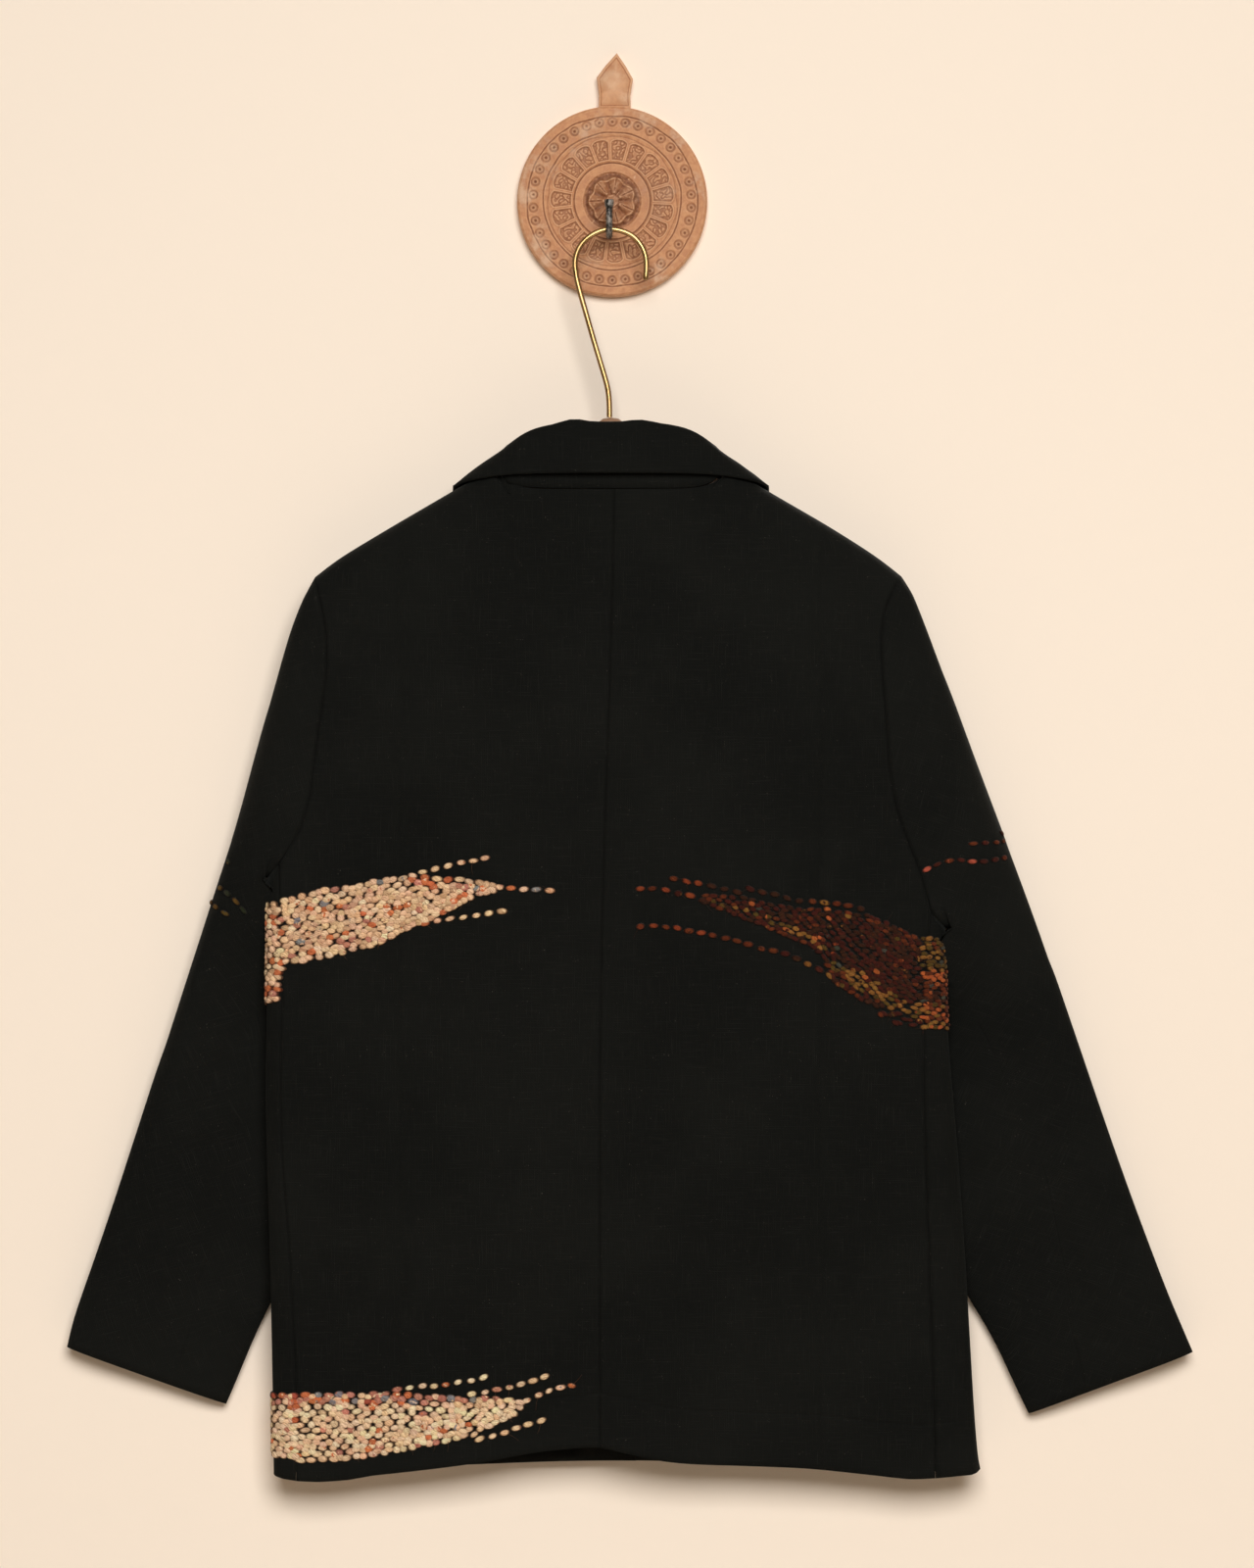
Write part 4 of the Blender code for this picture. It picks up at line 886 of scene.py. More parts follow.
def loose_threads(name, rng, ends):
    """Short fine thread ends that hang and curl from some stitches: rows of (place, normal, colour)."""
    mesh = bmesh.new()
    paints = [mesh.verts.layers.float_color.new(layer) for layer in ("yarn", "yarn_two")]
    for spot, normal, colour in ends:
        side = Vector((rng.uniform(-1, 1), 0.0, rng.uniform(-1.6, 0.4))).normalized()
        side = (side - normal * side.dot(normal)).normalized()
        across = normal.cross(side)
        length = rng.choice((rng.uniform(3.0, 6.5), rng.uniform(6.0, 12.0))) * MM
        curl, lift = rng.uniform(-0.5, 0.5), rng.uniform(0.0, 0.12)
        rings = []
        for k in range(THREAD_RINGS):
            t = k / (THREAD_RINGS - 1)
            middle = spot + side * length * t + across * curl * length * t * t
            middle += normal * (0.9 * MM + lift * length * math.sin(math.pi * t) - 0.7 * MM * t)
            radius = (THREAD_RADIUS - THREAD_TAPER * t) * MM
            rings.append([mesh.verts.new(middle + (across * math.cos(a) + normal * math.sin(a)) * radius)
                          for a in THREAD_ANGLES])
            for vert in rings[-1]:
                for paint in paints:
                    vert[paint] = (*colour, 1.0)
        bridge(mesh, rings)
        mesh.faces.new(rings[-1])
    obj = solid(name, mesh)
    obj.data.uv_layers.new(name="stitch")
    return obj


def px_line(points):
    """Photograph places as sorted (x, z) pairs in millimetres."""
    return sorted(at_px(*p) for p in points)


# fields: top and bottom edge in the photograph's pixels, then single rows of stitches
FIELDS = {
    "mid_left": {
        "top": [(272, 921), (300, 914), (315, 910), (338, 905), (359, 903), (379, 898), (398, 895),
                (421, 891), (439, 894), (473, 895), (490, 898), (510, 903)],
        "bottom": [(272, 989), (281, 988), (298, 983), (327, 979), (351, 974), (378, 967), (391, 961),
                   (406, 954), (428, 944), (442, 938), (457, 930), (476, 920), (490, 914), (510, 908)],
        "rows": [[(428, 891), (442, 887), (456, 884), (469, 880), (482, 879), (498, 875)],
                 [(506, 905), (517, 906), (529, 907), (545, 908), (564, 908)],
                 [(430, 943), (439, 941), (456, 938), (475, 936), (488, 934), (502, 931), (518, 929)]],
        "pitch": 4.1, "step": 4.0,
    },
    "low_left": {
        "top": [(276, 1424), (301, 1421), (352, 1421), (382, 1420), (410, 1419), (440, 1423),
                (478, 1425), (502, 1424), (520, 1426), (536, 1430)],
        "bottom": [(276, 1487), (290, 1490), (309, 1492), (327, 1492), (350, 1491), (375, 1487),
                   (400, 1483), (430, 1477), (457, 1471), (483, 1466), (492, 1459), (508, 1453),
                   (524, 1443), (536, 1434)],
        "rows": [[(402, 1418), (425, 1414), (440, 1414), (454, 1413), (468, 1410), (480, 1409),
                  (490, 1406), (503, 1401)],
                 [(478, 1422), (502, 1419), (523, 1415), (541, 1410), (559, 1403)],
                 [(534, 1431), (549, 1424), (558, 1419), (569, 1416), (581, 1413), (596, 1413)],
                 [(486, 1468), (497, 1466), (508, 1463), (521, 1460), (532, 1455), (542, 1452),
                  (556, 1449)]],
        "pitch": 4.1, "step": 4.0,
    },
    "mid_right": {
        "top": [(717, 911), (737, 912), (758, 914), (776, 919), (799, 922), (821, 926), (844, 926),
                (867, 930), (889, 933), (912, 943), (932, 954), (942, 956), (966, 955)],
        "bottom": [(717, 921), (731, 927), (744, 932), (760, 939), (780, 946), (794, 953), (808, 958),
                   (821, 963), (833, 970), (842, 980), (853, 1004), (867, 1013), (880, 1022),
                   (892, 1031), (901, 1039), (912, 1045), (930, 1048), (942, 1050), (966, 1051)],
        "rows": [[(684, 895), (700, 899), (720, 903), (735, 906), (752, 910), (764, 913)],
                 [(650, 907), (667, 906), (679, 908), (694, 912), (712, 915)],
                 [(762, 906), (778, 910), (794, 913), (808, 918), (821, 919), (834, 921), (848, 922),
                  (859, 923), (874, 926), (889, 930)],
                 [(650, 946), (667, 944), (684, 946), (697, 948), (710, 951), (724, 953), (740, 957),
                  (752, 960), (764, 963), (778, 968), (792, 970), (806, 975), (820, 981), (832, 987),
                  (845, 994), (856, 1004)]],
        "pitch": 3.15, "step": 3.4,
    },
}
CREAM, PALE, BEIGE = (0.86, 0.61, 0.39), (0.94, 0.73, 0.49), (0.66, 0.44, 0.27)
ORANGE, RED, PINK, BLUE_GREY = (0.62, 0.19, 0.08), (0.42, 0.10, 0.06), (0.55, 0.25, 0.18), (0.24, 0.25, 0.26)
RUST, BROWN, MAROON = (0.115, 0.027, 0.009), (0.038, 0.014, 0.007), (0.052, 0.011, 0.007)
OLIVE, GOLD, TEAL = (0.090, 0.055, 0.012), (0.23, 0.110, 0.026), (0.055, 0.058, 0.045)
FLAME, GREEN = (0.40, 0.105, 0.030), (0.020, 0.028, 0.014)


def pick(rng, choices):
    """One colour from (weight, colour) pairs, a little lighter or darker."""
    spot = rng.random() * sum(weight for weight, _ in choices)
    for weight, colour in choices:
        spot -= weight
        if spot <= 0.0:
            break
    light = rng.uniform(0.8, 1.15)
    return tuple(min(c * light * rng.uniform(0.94, 1.06), 0.9) for c in colour)


def field_colour(rng, field, x, share):
    """A stitch's colour from its place: share runs from the field's top to its bottom."""
    if field == "mid_left":
        streak = noise.noise(Vector((x * 0.035, share * 5.0, 2.0)))
        if streak > 0.28 and rng.random() < 0.6:
            return pick(rng, [(3, ORANGE), (1, PINK)])
        return pick(rng, [(7, CREAM), (2.0, BEIGE), (1.2, PALE), (0.5, ORANGE), (0.4, PINK),
                          (0.2, BLUE_GREY)])
    if field == "low_left":
        if share < 0.17:
            return pick(rng, [(3, CREAM), (3, PINK), (1.2, RED), (1.0, BLUE_GREY), (1, ORANGE)])
        return pick(rng, [(7, PALE), (3, CREAM), (0.4, ORANGE), (0.5, PINK)])
    if field == "row_right":
        if x < 66.0 and rng.random() < 0.7:
            return pick(rng, [(1, (0.22, 0.045, 0.016))])
        return pick(rng, [(4, RUST), (1.5, BROWN), (1, MAROON), (0.6, GOLD)])
    if x > 222:
        if share < 0.32:
            return pick(rng, [(5, OLIVE), (3, GOLD), (1, TEAL), (1, RUST)])
        if share < 0.52:
            return pick(rng, [(5, FLAME), (3, RUST), (1, GOLD)])
        if share < 0.72:
            return pick(rng, [(4, RUST), (2, BROWN), (1.5, TEAL)])
        return pick(rng, [(4, RUST), (2, FLAME), (2, GOLD), (1, OLIVE)])
    if rng.random() < 0.02:
        return pick(rng, [(2, FLAME), (1, TEAL)])
    gold = bump(share - read_line([(60, 0.55), (120, 0.66), (150, 0.80), (200, 0.80)], x), 0.17)
    edge = smooth((share - 0.85) / 0.1) + smooth((100.0 - x) / 40.0)
    return pick(rng, [(0.9 + 2.5 * edge, RUST), (3.0 * (1 - gold), BROWN), (4.0 * (1 - gold), MAROON),
                      (0.1 + 3.0 * gold, OLIVE), (0.1 + 5.0 * gold, GOLD), (0.12, TEAL)])


def slope_at(line, x, reach=4):
    return (read_line(line, x + reach) - read_line(line, x - reach)) / (2 * reach)


def field_places(rng, field):
    """(x, z, slope, share) of each stitch in a field: rows run with the field's edges."""
    top, bottom = px_line(field["top"]), px_line(field["bottom"])
    places = []
    x = top[0][0] + FIELD_ENDS[0]
    column = 0
    while x < top[-1][0] - FIELD_ENDS[1]:
        high, low = read_line(top, x), read_line(bottom, x)
        count = max(1, round((high - low) / field["pitch"]))
        for row in range(column % 2, count, 2):
            share = (row + 0.5) / count
            slope = slope_at(top, x)
            slope += (slope_at(bottom, x) - slope) * share
            places.append((x + rng.uniform(-0.9, 0.9), high + (low - high) * share + rng.uniform(-0.6, 0.6),
                           slope, share))
        x += field["step"]
        column += 1
    for x, z in gaps([p[:2] for p in places], bottom, top, (top[0][0], top[-1][0]),
                     (bottom[0][1] - 70, top[0][1] + 70), field["pitch"]):
        high, low = read_line(top, x), read_line(bottom, x)
        places.append((x, z, slope_at(top, x), (high - z) / max(high - low, 1.0)))
    return places


def gaps(spots, low_line, high_line, across, up, pitch):
    """Places in a field that no stitch covers yet, one for each hole."""
    reach_up = HOLE_ACROSS * pitch
    found = []
    at = across[0]
    while at < across[1]:
        low, high = read_line(low_line, at) + EDGE_INSET, read_line(high_line, at) - EDGE_INSET
        near = [s for s in spots + found if abs(s[0] - at) < HOLE_ALONG]
        z = up[0]
        while z < up[1]:
            if low < z < high and all(
                    ((s[0] - at) / HOLE_ALONG) ** 2 + ((s[1] - z) / reach_up) ** 2 > 1.0 for s in near):
                found.append((at, z))
                near.append((at, z))
            z += SEARCH_UP
        at += SEARCH_ALONG
    return found


def row_places(rng, row):
    """Stitches along one loose row."""
    line = px_line(row)
    places = []
    x = line[0][0] + ROW_ENDS[0]
    while x < line[-1][0] - ROW_ENDS[1]:
        slope = slope_at(line, x, 3)
        places.append((x, read_line(line, x) + rng.uniform(-0.4, 0.4), slope, 0.5))
        x += ROW_STEP * rng.uniform(0.9, 1.1) / math.hypot(1, slope)
    return places


# z, out: the body's side fold, and the side seam on the back
SIDE_EDGE = {
    "left": [(-915, 242), (-866, 242.6), (-789, 244), (-733, 245.4), (-642, 248.2), (-579, 246.8),
             (-530, 246.1), (-484, 246)],
    "right": [(-915, 265), (-866, 260.8), (-789, 256.6), (-733, 253.1), (-663, 248.2), (-628, 244),
              (-579, 240.8), (-530, 239.5), (-484, 240)],
}
SIDE_SEAM = {
    "left": [(-915, 225), (-838, 225), (-783, 228.6), (-736, 230), (-678, 237), (-540, 235), (-475, 237.7)],
    "right": [(-915, 232), (-838, 230), (-783, 228), (-720, 226), (-655, 223.7), (-560, 223.7), (-510, 229)],
}
SIDE_FOLD = 18.0
QUARTER = SIDE_FOLD * math.pi / 2
# distance round from the side's outermost line, top z, bottom z of each field on the fronts
FRONT_FIELDS = {
    "mid_left": ([(-26, -502, -552), (-15, -502, -552), (-14, -502, -574), (0, -503, -575), (28, -506, -583),
                  (60, -512, -584), (90, -520, -582), (118, -528, -576), (140, -537, -566),
                  (156, -545, -556)],
                 [[(136, -534), (182, -548)], [(146, -561), (196, -572)], [(110, -520), (160, -528)]], 4.1),
    "low_left": ([(-30, -853, -900), (0, -853, -900), (40, -855, -899), (76, -858, -896), (110, -862, -890),
                  (140, -868, -882), (152, -872, -878)],
                 [[(112, -858), (172, -862)], [(140, -873), (196, -872)], [(120, -888), (178, -890)]], 4.1),
    "mid_right": ([(-28, -526, -592), (0, -529, -595), (28, -531, -598), (54, -534, -600), (84, -539, -597),
                   (109, -546, -591), (134, -554, -581), (150, -561, -570)],
                  [[(128, -548), (184, -562)], [(140, -574), (200, -588)], [(96, -536), (150, -546)]], 3.15),
}


def round_hit(tree, side, turn, z):
    """Hit and normal of a ray onto the body, at a distance round from its side and at z in millimetres."""
    sign = SIGN[side]
    centre = Vector((sign * (read_line(SIDE_EDGE[side], z) - SIDE_FOLD), BODY_Y, z))
    if turn > QUARTER:
        start, away = Vector((centre.x - sign * (turn - QUARTER), 150.0, z)), Vector((0, 1, 0))
    else:
        angle = turn / SIDE_FOLD
        away = Vector((sign * math.cos(angle), math.sin(angle), 0.0))
        start = centre + away * 90.0
    return tree.ray_cast(start * MM, -away)[:2]


def like_back(side, turn):
    """The x on the back whose colours a front stitch takes on."""
    return 230 if side == "right" and turn < 6 else 120


def loose_colours(side, name):
    return "row_right" if side == "right" else name


def front_stitches(tree, cloth):
    """The fields go on round the sides and taper out on the fronts."""
    for name, (stations, rows, pitch) in FRONT_FIELDS.items():
        rng = random.Random(f"front {name}")
        side = name.split("_")[1]
        surface = surface_tree(cloth[f"front_{side}"])
        tops, lows = [(s[0], s[1]) for s in stations], [(s[0], s[2]) for s in stations]
        spots = []
        middle = (stations[0][1] + stations[0][2]) / 2
        seam = read_line(SIDE_SEAM[side], middle)
        seam_share = (seam - read_line(SIDE_EDGE[side], middle)) / SIDE_FOLD + 1.0
        seam_turn = -SIDE_FOLD * math.acos(min(1.0, seam_share))
        turn, column = stations[0][0], 0
        while turn < stations[-1][0]:
            high, low = read_line(tops, turn), read_line(lows, turn)
            count = max(1, round((high - low) / pitch))
            for row in range(count):
                if (row + column) % 2 and turn > seam_turn + STITCH_STEP:
                    continue
                share = (row + 0.5) / count
                z = high + (low - high) * share + rng.uniform(-0.5, 0.5)
                spots.append((turn + rng.uniform(-0.8, 0.8), z,
                              field_colour(rng, name, like_back(side, turn), share)))
            turn += STITCH_STEP
            column += 1
        for turn, z in gaps([s[:2] for s in spots], lows, tops, (stations[0][0], stations[-1][0]),
                            (stations[0][2] - 60, stations[0][1] + 30), pitch):
            high, low = read_line(tops, turn), read_line(lows, turn)
            share = (high - z) / max(high - low, 1.0)
            spots.append((turn, z, field_colour(rng, name, like_back(side, turn), share)))
        field_count = len(spots)
        for row in rows:
            place = row[0][0]
            while place < row[1][0]:
                spots.append((place, read_line(row, place),
                              field_colour(rng, loose_colours(side, name), 0, 0.6)))
                place += FRONT_ROW_STEP * rng.uniform(0.9, 1.1)
        stitches = []
        for number, (turn, z, colour) in enumerate(spots):
            hit, normal = round_hit(surface, side, turn, z)
            ahead, _ = round_hit(surface, side, turn + 1.5, z)
            if hit is None or ahead is None or (hit.y < BODY_Y * MM and abs(hit.x) < (seam - 0.5) * MM):
                continue
            along = ahead - hit
            along.z += rng.uniform(-SLANT, SLANT) * along.length
            size = yarn_size(rng, stitch_kind(side, number >= field_count))
            stitches.append((hit + normal * STITCH_LIFT * MM, normal, along, size, colour))
        finish_piece(stitched(f"yarn_front_{name}", tree, stitches), f"band_front_{name}")


# rows of stitches on the sleeves, in the photograph's pixels, from the outer edge inwards
SLEEVE_ROWS = {
    "left": [[(216, 906), (225, 907), (234, 914), (243, 923), (253, 936)],
             [(214, 921), (217, 924), (225, 930), (237, 937)], [(226, 876), (234, 883)]],
    "right": [[(1029, 858), (1023, 860), (1008, 860), (990, 861)],
              [(1036, 875), (1023, 876), (1006, 879), (990, 879), (978, 877), (963, 879), (944, 888)],
              [(1025, 852), (1019, 847)]],
}
SLEEVE_COLOURS = {"left": [(3, GREEN), (2, OLIVE), (1, TEAL)], "right": [(3, RUST), (2, MAROON), (2, RED)]}


def sleeve_stitches(tree, cloth):
    """Short rows that come round from the sleeve's front; each also runs on a little in front."""
    for side, rows in SLEEVE_ROWS.items():
        rng = random.Random(f"sleeve {side}")
        surface = surface_tree(cloth[f"sleeve_{side}"])
        stitches = []
        for row in rows:
            line = [at_px(*p) for p in row]
            outward = Vector(((line[0][0] + 7 * SIGN[side]) * MM, -0.026, line[0][1] * MM))
            route = [cast(surface, line[1][0] * MM, (line[0][1] - 2) * MM, 1)[0],
                     surface.ray_cast(outward, Vector((-SIGN[side], 0, 0)))[0]]
            route += [cast(surface, x * MM, z * MM, -1)[0] for x, z in line]
            route = [p for p in route if p is not None]
            lengths = [0.0]
            for a, b in zip(route, route[1:]):
                lengths.append(lengths[-1] + (b - a).length)
            place = SLEEVE_ROW_ENDS[0] * MM
            while place < lengths[-1] - SLEEVE_ROW_ENDS[1] * MM:
                spot, later = (Vector([np.interp(at, lengths, [p[k] for p in route]) for k in range(3)])
                               for at in (place, place + 2.0 * MM))
                hit, normal, _, _ = surface.find_nearest(spot)
                along = later - spot
                if hit is not None and along.length > 1e-6:
                    size = yarn_size(rng, "sleeve")
                    stitches.append((hit + normal * STITCH_LIFT * MM, normal, along, size,
                                     pick(rng, SLEEVE_COLOURS[side])))
                place += SLEEVE_ROW_STEP * MM * rng.uniform(0.9, 1.12)
        finish_piece(stitched(f"yarn_sleeve_{side}", tree, stitches))


def mix_pale(colour):
    return tuple(0.65 * c + 0.35 * p for c, p in zip(colour, (0.62, 0.52, 0.42)))


def back_stitches(tree, cloth, finish):
    """The three fields of the back, their loose rows and thread ends."""
    for name, field in FIELDS.items():
        rng = random.Random(f"field {name}")
        side = name.split("_")[1]
        trees = [surface_tree(cloth[node])
                 for node in (f"back_{side}", f"front_{side}", "back_right", "back_left")]
        stitches = []
        spots = [(p, field_colour(rng, name, p[0], p[3])) for p in field_places(rng, field)]
        field_count = len(spots)
        for row in field["rows"]:
            spots += [(p, field_colour(rng, loose_colours(side, name), p[0], 0.6))
                      for p in row_places(rng, row)]
        for number, ((x, z, slope, _), colour) in enumerate(spots):
            if abs(x) > read_line(SIDE_SEAM[side], z):
                continue
            hits = (cast(surface, x * MM, z * MM, -1) for surface in trees)
            hit, normal = next((pair for pair in hits if pair[0] is not None), (None, None))
            if hit is None:
                continue
            along = Vector((1.0, 0.0, slope + rng.uniform(-SLANT, SLANT)))
            size = yarn_size(rng, stitch_kind(side, number >= field_count))
            stitches.append((hit + normal * STITCH_LIFT * MM, normal, along, size, colour))
        ends = [(row[0], row[1], mix_pale(row[4])) for k, row in enumerate(stitches)
                if rng.random() < (0.8 if k >= field_count else 0.3)]
        finish_piece(loose_threads(f"thread_ends_back_{name}", rng, ends), material=finish)
        finish_piece(stitched(f"yarn_back_{name}", tree, stitches), f"band_back_{name}")


# plaque, hooks, hanger and buttons
def turned_relief(name, centre, radius, face_at, rings, segments, back, direction):
    """A disc with carved relief: face_at(r, angle) gives height and painted carving shade, facing -Y (-1) or
    +Y (1).
    """
    mesh = bmesh.new()
    dark = mesh.verts.layers.float.new("stain")
    grid = []
    cx, base_y, cz = centre

    def add(r, angle):
        height, stain = face_at(r, angle)
        vert = mesh.verts.new((cx + r * math.sin(angle) * MM, (base_y + direction * height) * MM,
                               cz + r * math.cos(angle) * MM))
        vert[dark] = stain
        return vert

    for k in range(1, rings + 1):
        grid.append([add(radius * k / rings, 2 * math.pi * j / segments) for j in range(segments)])
    middle = add(0.0, 0.0)
    foot = [mesh.verts.new((v.co.x, (base_y - direction * back) * MM, v.co.z)) for v in grid[-1]]
    under = mesh.verts.new((cx, (base_y - direction * back) * MM, cz))
    for j in range(segments):
        n = (j + 1) % segments
        mesh.faces.new((middle, grid[0][j], grid[0][n]))
        for inner, outer in zip(grid, grid[1:]):
            mesh.faces.new((inner[j], outer[j], outer[n], inner[n]))
        mesh.faces.new((grid[-1][j], foot[j], foot[n], grid[-1][n]))
        mesh.faces.new((under, foot[n], foot[j]))
    return solid(name, mesh)


# radius and height of the turned face
PLAQUE_PROFILE = [(0.0, 14.4), (6.0, 14.2), (12.0, 13.4), (16.5, 12.0), (18.6, 9.6), (20.2, 9.8),
                  (21.4, 11.0), (26.8, 11.0), (27.5, 10.4), (28.3, 10.9), (47.5, 10.8), (49.0, 11.3),
                  (52.0, 11.2), (61.5, 10.9), (66.5, 10.6), (68.0, 9.4), (68.5, 7.6)]
DOTS, PANELS, LEAVES = 38, 19, 7


def sector(angle, count, turn=0.0):
    """Angle from the middle of the nearest of count equal sectors."""
    pitch = 2 * math.pi / count
    return (angle - turn + pitch / 2) % pitch - pitch / 2


def plaque_face(r, angle):
    """Height and painted shade of the carved face: a ring of pierced cups, a ring of lobed panels and a
    boss; the shade darkens the cups and their holes, the incised rings, the sunken panels and the boss, most
    at its ring, and less on raised edges and swirls.
    """
    height, stain = read_line(PLAQUE_PROFILE, r), 0.0
    x, z = r * math.sin(angle), r * math.cos(angle)
    hand = noise.noise(Vector((x * 0.09, z * 0.09, 1.7)))
    height += 0.30 * hand + 0.12 * noise.noise(Vector((x * 0.6, z * 0.6, 4.0)))
    for ring, depth in ((61.4 + 0.9 * hand, 0.9), (49.5 + 0.8 * hand, 0.9), (46.7 - 1.2 * hand, 0.4),
                        (27.5, 0.9)):
        height -= depth * bump(r - ring, 0.9)
        stain = max(stain, depth * bump(r - ring, 0.8))
    if 52.4 < r < 61.0:
        gap = math.hypot(r - 57.0, sector(angle, DOTS) * 57.0)
        cup = smooth((3.9 - gap) / 0.9)
        height -= 0.9 * cup - 0.5 * bump(gap - 1.7, 1.3)
        height -= 1.2 * smooth((0.8 - gap) / 0.4)
        stain = max(stain, (0.50 + 0.35 * hand) * cup, smooth((0.9 - gap) / 0.3))
    elif 28.2 < r < 46.4:
        off = sector(angle, PANELS, 0.12) * r
        half = math.pi * r / PANELS
        crown = 45.2 - 3.4 * (abs(off) / half) ** 3.0
        inside = min(half - 0.25 - abs(off), crown - r, r - 28.9)
        height += 0.7 * bump(inside - 0.45, 0.7) - 0.9 * smooth((inside - 0.9) / 1.1)
        sunk = smooth((inside - 0.9) / 1.2)
        curl = noise.noise(Vector((x * 0.34, z * 0.34, 9.0)))
        swirl = smooth((abs(curl) - 0.10) / 0.16)
        height += 0.9 * swirl * smooth((inside - 1.3) / 1.6)
        stain = max(stain, sunk * (0.55 - 0.40 * swirl), 0.7 * bump(inside - 1.3, 0.6))
    elif r < 20.6:
        off = sector(angle, LEAVES, 0.2)
        lobe = 0.5 + 0.5 * math.cos(off * LEAVES)
        rim = smooth((18.6 - r) / 3.0) * smooth((r - 3.5) / 3.0)
        vein = bump(off * r, 0.9) * smooth((r - 6.0) / 3.0)
        edge = bump(r - 14.6 - 2.4 * lobe, 1.6)
        cut = (1.0 - lobe) ** 3
        height += rim * (1.6 * lobe ** 1.2 - 2.2 * cut - 1.0 * vein + 1.3 * edge) - 1.0 * bump(r - 4.8, 1.1)
        height += 0.8 * noise.noise(Vector((x * 0.42, z * 0.42, 2.0)))
        stain = max(0.45, 0.95 * smooth((r - 14.0) / 3.0) * smooth((20.6 - r) / 1.6), 0.9 * cut * rim,
                    0.8 * vein * rim) - 0.30 * edge
    return height, max(stain, 0.0)


def smooth_route(route, between):
    """More points along a route, on a curve that passes through all of it."""
    ends = [route[0]] + list(route) + [route[-1]]
    dense = []
    for a, b, c, d in zip(ends, ends[1:], ends[2:], ends[3:]):
        for step in range(between):
            t = step / between
            dense.append((a * (-t + 2 * t * t - t ** 3) + b * (2 - 5 * t * t + 3 * t ** 3)
                          + c * (t + 4 * t * t - 3 * t ** 3) + d * (t ** 3 - t * t)) * 0.5)
    dense.append(route[-1])
    return dense


def tube(name, route, radius_at, sides=14):
    """A closed round wire along a route in millimetres; radius_at(share) gives its radius."""
    mesh = bmesh.new()
    count = len(route)
    rings = []
    side = None
    # flank: 0 where the wire faces the front, up to 1 on its sides and back; the brass uses it for painted
    # dark reflections
    flank = mesh.verts.layers.float.new("flank")
    for k, spot in enumerate(route):
        ahead = (route[min(k + 1, count - 1)] - route[max(k - 1, 0)]).normalized()
        if side is None:
            side = ahead.cross(Vector((0, 1, 0)) if abs(ahead.y) < 0.9 else Vector((1, 0, 0)))
        side = (side - ahead * side.dot(ahead)).normalized()
        other = ahead.cross(side)
        radius = radius_at(k / (count - 1))
        rings.append([])
        for j in range(sides):
            angle = 2 * math.pi * j / sides
            away = side * math.cos(angle) + other * math.sin(angle)
            rings[-1].append(mesh.verts.new((spot + away * radius) * MM))
            rings[-1][-1][flank] = 1.0 - max(0.0, -away.y)
    bridge(mesh, rings)
    mesh.faces.new(rings[-1])
    return solid(name, mesh, 50)


# routes: x and z of the brass wire, y and z of the iron hook; then the finial's outline in x and z
WIRE_ROUTE = [
    (24.9, -57.1), (25.2, -42), (20.8, -31.0), (12.3, -23.6), (-1.2, -20.6), (-13.7, -24.8),
    (-22.1, -32.9), (-25.6, -42.7), (-24.9, -53.9), (-22.1, -65.8), (-17.9, -80.5),
    (-12.3, -100.1), (-6, -121.1), (-2.5, -133.7), (-1.2, -144.2), (-1.0, -155.3),
]
WALL_HOOK_ROUTE = [
    (-15.4, -9.0), (-19.5, -9.0), (-23.6, -11.5), (-25.6, -16.5), (-27.6, -21.2), (-31.0, -24.6),
    (-34.4, -25.5), (-38.6, -23.8), (-41.4, -19.5), (-42.4, -13), (-42.4, -5), (-42.3, 0.0),
]
FINIAL = [(-8.9, 68.0), (-8.6, 78), (-10.2, 90.7), (-4.0, 99), (4.2, 108.2), (10.5, 99),
          (15.8, 89.6), (13.9, 78), (14.2, 68.0)]
# the finial's middle; from its back to its tip, its outline's share of the way out and the height there
FINIAL_CENTRE = Vector((2.6, 0, 84.0))
FINIAL_STEPS = ((1.0, 0.0), (1.0, 7.4), (0.97, 8.3), (0.88, 8.6), (0.86, 8.1), (0.84, 8.1), (0.81, 8.6),
                (0.0, 8.8))


def finial(name):
    """A pointed leaf with rounded edges and a line cut inside its border."""
    mesh = bmesh.new()
    outline = [Vector((x, 0, z)) for x, z in FINIAL]
    dense = [a.lerp(b, k / 6) for a, b in zip(outline, outline[1:] + outline[:1]) for k in range(6)]
    rings = [[mesh.verts.new((FINIAL_CENTRE + (p - FINIAL_CENTRE) * share + Vector((0, -height, 0))) * MM)
              for p in dense] for share, height in FINIAL_STEPS[:-1]]
    tip = mesh.verts.new((FINIAL_CENTRE + Vector((0, -FINIAL_STEPS[-1][1], 0))) * MM)
    bridge(mesh, rings)
    for j, vert in enumerate(rings[-1]):
        mesh.faces.new((vert, rings[-1][(j + 1) % len(dense)], tip))
    return solid(name, mesh, 55)


def button_height(r, angle):
    """A dished face with a rolled rim and four thread holes."""
    height = 1.5 - 0.5 * smooth((9.0 - r) / 3.0) - 1.2 * smooth((r - 9.8) / 1.2)
    x, z = r * math.sin(angle), r * math.cos(angle)
    hole = min(math.hypot(x - a, z - b) for a in (-1.7, 1.7) for b in (-1.7, 1.7))
    return height - 1.6 * smooth((1.0 - hole) / 0.4), 0.0


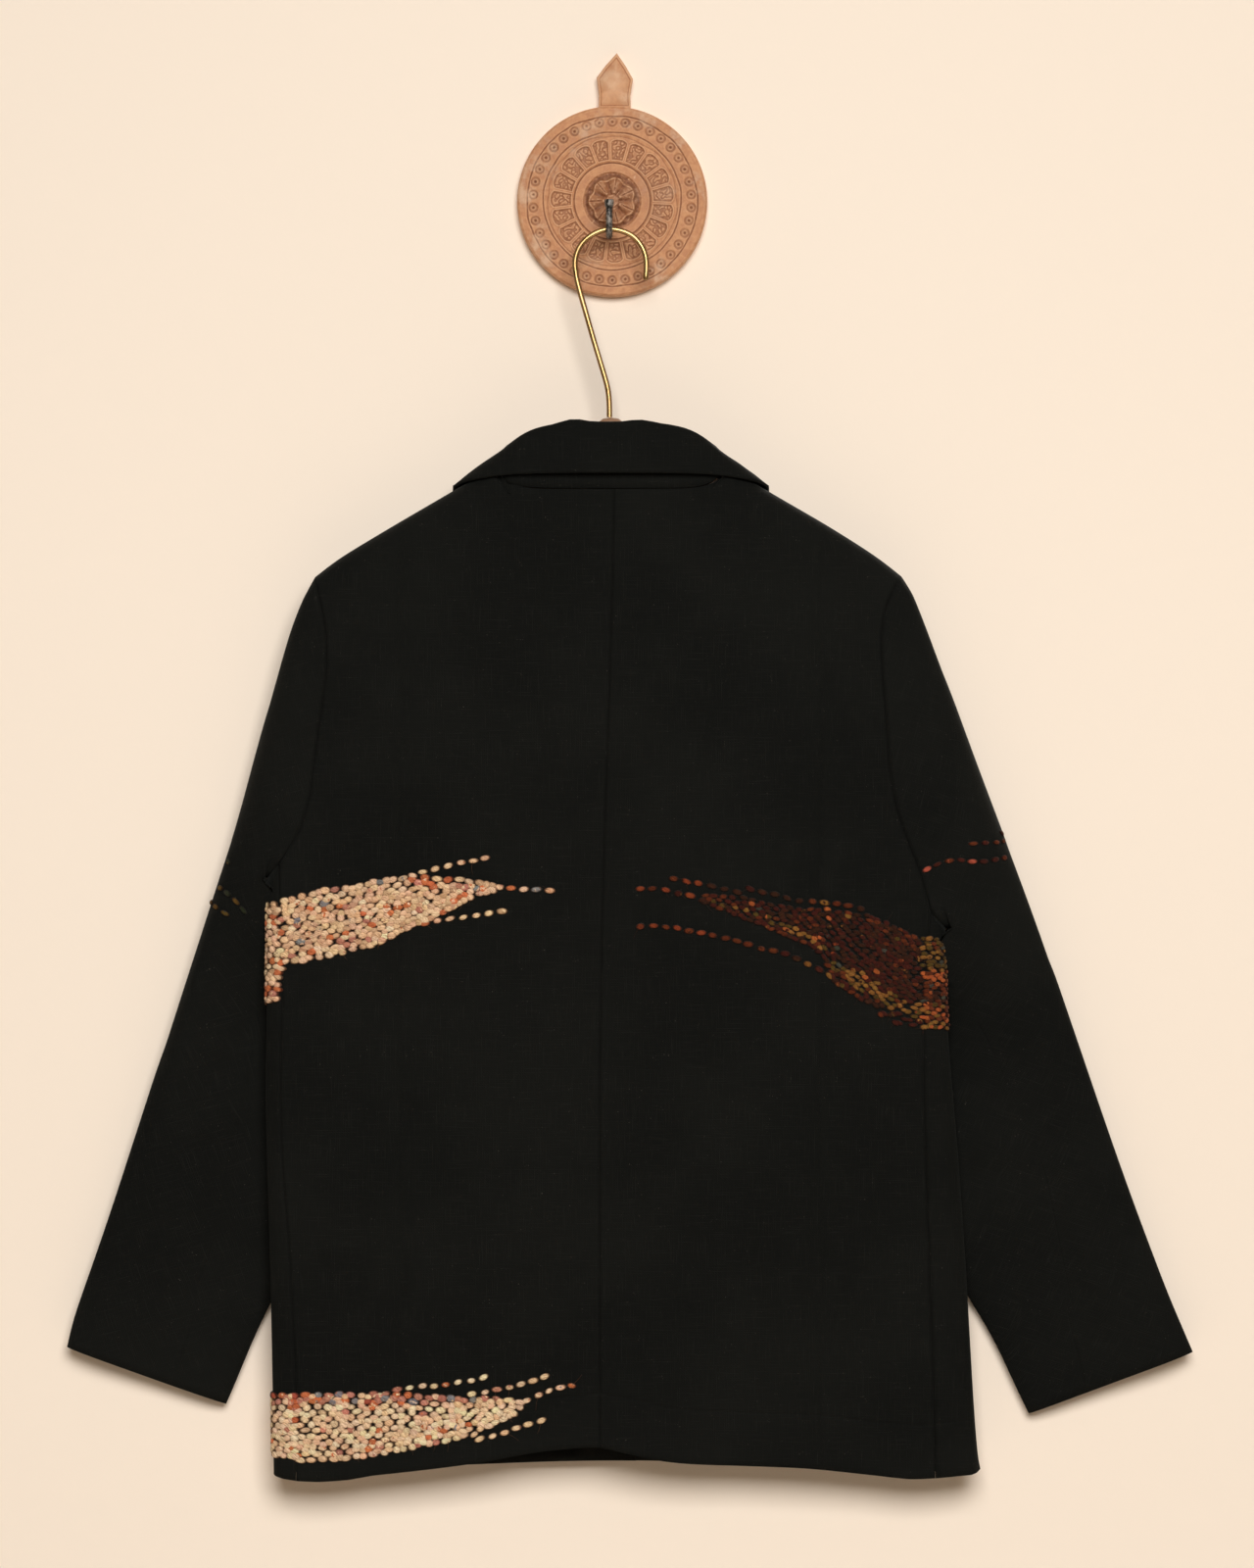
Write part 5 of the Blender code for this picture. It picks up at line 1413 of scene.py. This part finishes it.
def carving_shade_and_wear(kit, centre):
    """Painted shade darkening the carving, and pale worn patches towards the rim."""
    fine = kit.span(kit.noise(420.0, 3.0), 0.25, 0.70, 0.55, 1.0)
    share = kit.maths("MULTIPLY", kit.surface("stain"), fine, clamp=True)
    colour = kit.mix(share, kit.colour, (0.155, 0.050, 0.020))
    moved = kit.add("ShaderNodeMapping", {"Location": [-c for c in centre], "Vector": kit.place()})
    away = kit.add("ShaderNodeVectorMath", {0: moved.outputs["Vector"]}, operation="LENGTH").outputs["Value"]
    patches = kit.span(kit.noise(38.0, 5.0, roughness=0.65), 0.50, 0.66, 0.0, 0.65)
    worn = kit.maths("MULTIPLY", patches, kit.span(away, 0.030, 0.064, 0.25, 1.0))
    kit.paint(kit.mix(worn, colour, (0.68, 0.46, 0.30)))


def hollow_shade_and_edge_wear(kit):
    """Painted shade darkening the carved hollows, and paler worn edges, from the shape of the surface."""
    bend = kit.add("ShaderNodeNewGeometry").outputs["Pointiness"]
    worn, deep = kit.span(bend, 0.50, 0.56), kit.span(bend, 0.42, 0.50, 1.0, 0.0)
    colour = kit.mix(kit.maths("MULTIPLY", worn, 0.55), kit.colour, (0.72, 0.43, 0.25))
    kit.paint(kit.mix(kit.maths("MULTIPLY", deep, 0.6), colour, (0.12, 0.040, 0.016)))


def wire_radius(share):
    """The brass wire: round, with a narrower first end."""
    return 2.0 if share > 0.006 else 1.4


def hook_radius(share):
    """The iron hook: even, with a small ball at its free end."""
    ball = math.sqrt(max(0.0, 1.0 - ((share - 0.955) / 0.055) ** 2))
    return 2.4 if share < 0.9 else 2.4 + 1.1 * ball


def fittings():
    """Everything that isn't cloth or yarn, each with its own finish."""
    even = (1.0, 1.0, 1.0)
    clay = patterned("carved_terracotta_wood", [
        (0.46, 0.195, 0.083), (0.57, 0.28, 0.135), (0.34, 0.125, 0.050)],
        240.0, even, (0.62, 0.85), 0.5, 0.0005)
    carving_shade_and_wear(clay, (0.0009, -0.012, 0.0014))
    hollow_shade_and_edge_wear(clay)
    low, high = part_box("wall_plaque")
    middle = ((low.x + high.x) / 2, 0.0, (low.z + high.z) / 2)
    disc = turned_relief("carved_plaque", middle, 68.5, plaque_face, 160, 494, 0.0, -1)
    finish_piece(disc, "wall_plaque", clay.material)
    finish_piece(finial("carved_finial"), "wall_finial", clay.material)
    brass = patterned("tarnished_brass_painted_dark_edges", [(0.47, 0.29, 0.115), (0.58, 0.38, 0.17), (0.26, 0.14, 0.05)], 160.0,
                      (1.0, 1.0, 0.3), (0.24, 0.42), 0.12, 0.0002, 1.0)
    # painted dark reflection: darker towards the wire's sides and back, away from its front
    painted_dark_edges = brass.span(brass.surface("flank"), 0.12, 0.62, 0.0, 0.9)
    brass.paint(brass.mix(painted_dark_edges, brass.colour, (0.13, 0.060, 0.016)))
    route = smooth_route([Vector((x, BODY_Y, z)) for x, z in WIRE_ROUTE], 8)
    finish_piece(tube("brass_wire", route, wire_radius, 18), "hanger_hook", brass.material)
    iron = patterned("forged_iron", [(0.030, 0.028, 0.026), (0.34, 0.31, 0.28), (0.06, 0.04, 0.03)], 300.0,
                     even, (0.42, 0.7), 0.5, 0.0003, 0.85)
    route = smooth_route([Vector((-1.2, y, z)) for y, z in WALL_HOOK_ROUTE], 6)
    finish_piece(tube("iron_hook", route, hook_radius), "wall_hook", iron.material)
    wood = patterned("hanger_wood", [(0.16, 0.075, 0.032), (0.26, 0.13, 0.06), (0.08, 0.035, 0.016)], 120.0,
                     (0.14, 1.0, 1.6), (0.34, 0.55), 0.25, 0.0003)
    wood.set({"Coat Weight": 0.25})
    for place in bpy.data.objects["hanger_body"].material_slots:
        place.material = wood.material
    horn = patterned("black_horn", [(0.016, 0.015, 0.014), (0.03, 0.027, 0.024), (0.009, 0.009, 0.009)],
                     300.0, (1.0, 1.0, 3.0), (0.28, 0.42), 0.1, 0.0002)
    for node in ("button_1", "button_2"):
        low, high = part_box(node)
        place = ((low.x + high.x) / 2, (low.y + high.y) / 2 / MM, (low.z + high.z) / 2)
        disc = turned_relief(f"horn_{node}", place, 11.0, button_height, 22, 64, 1.5, 1)
        finish_piece(disc, node, horn.material)


camera()
lights()
stage()
WOOL = wool()
YARN = yarn()
CLOTH = cloth_pieces(WOOL)
STITCH_TREE = stitch_tree(YARN)
back_stitches(STITCH_TREE, CLOTH, YARN)
front_stitches(STITCH_TREE, CLOTH)
sleeve_stitches(STITCH_TREE, CLOTH)
fittings()
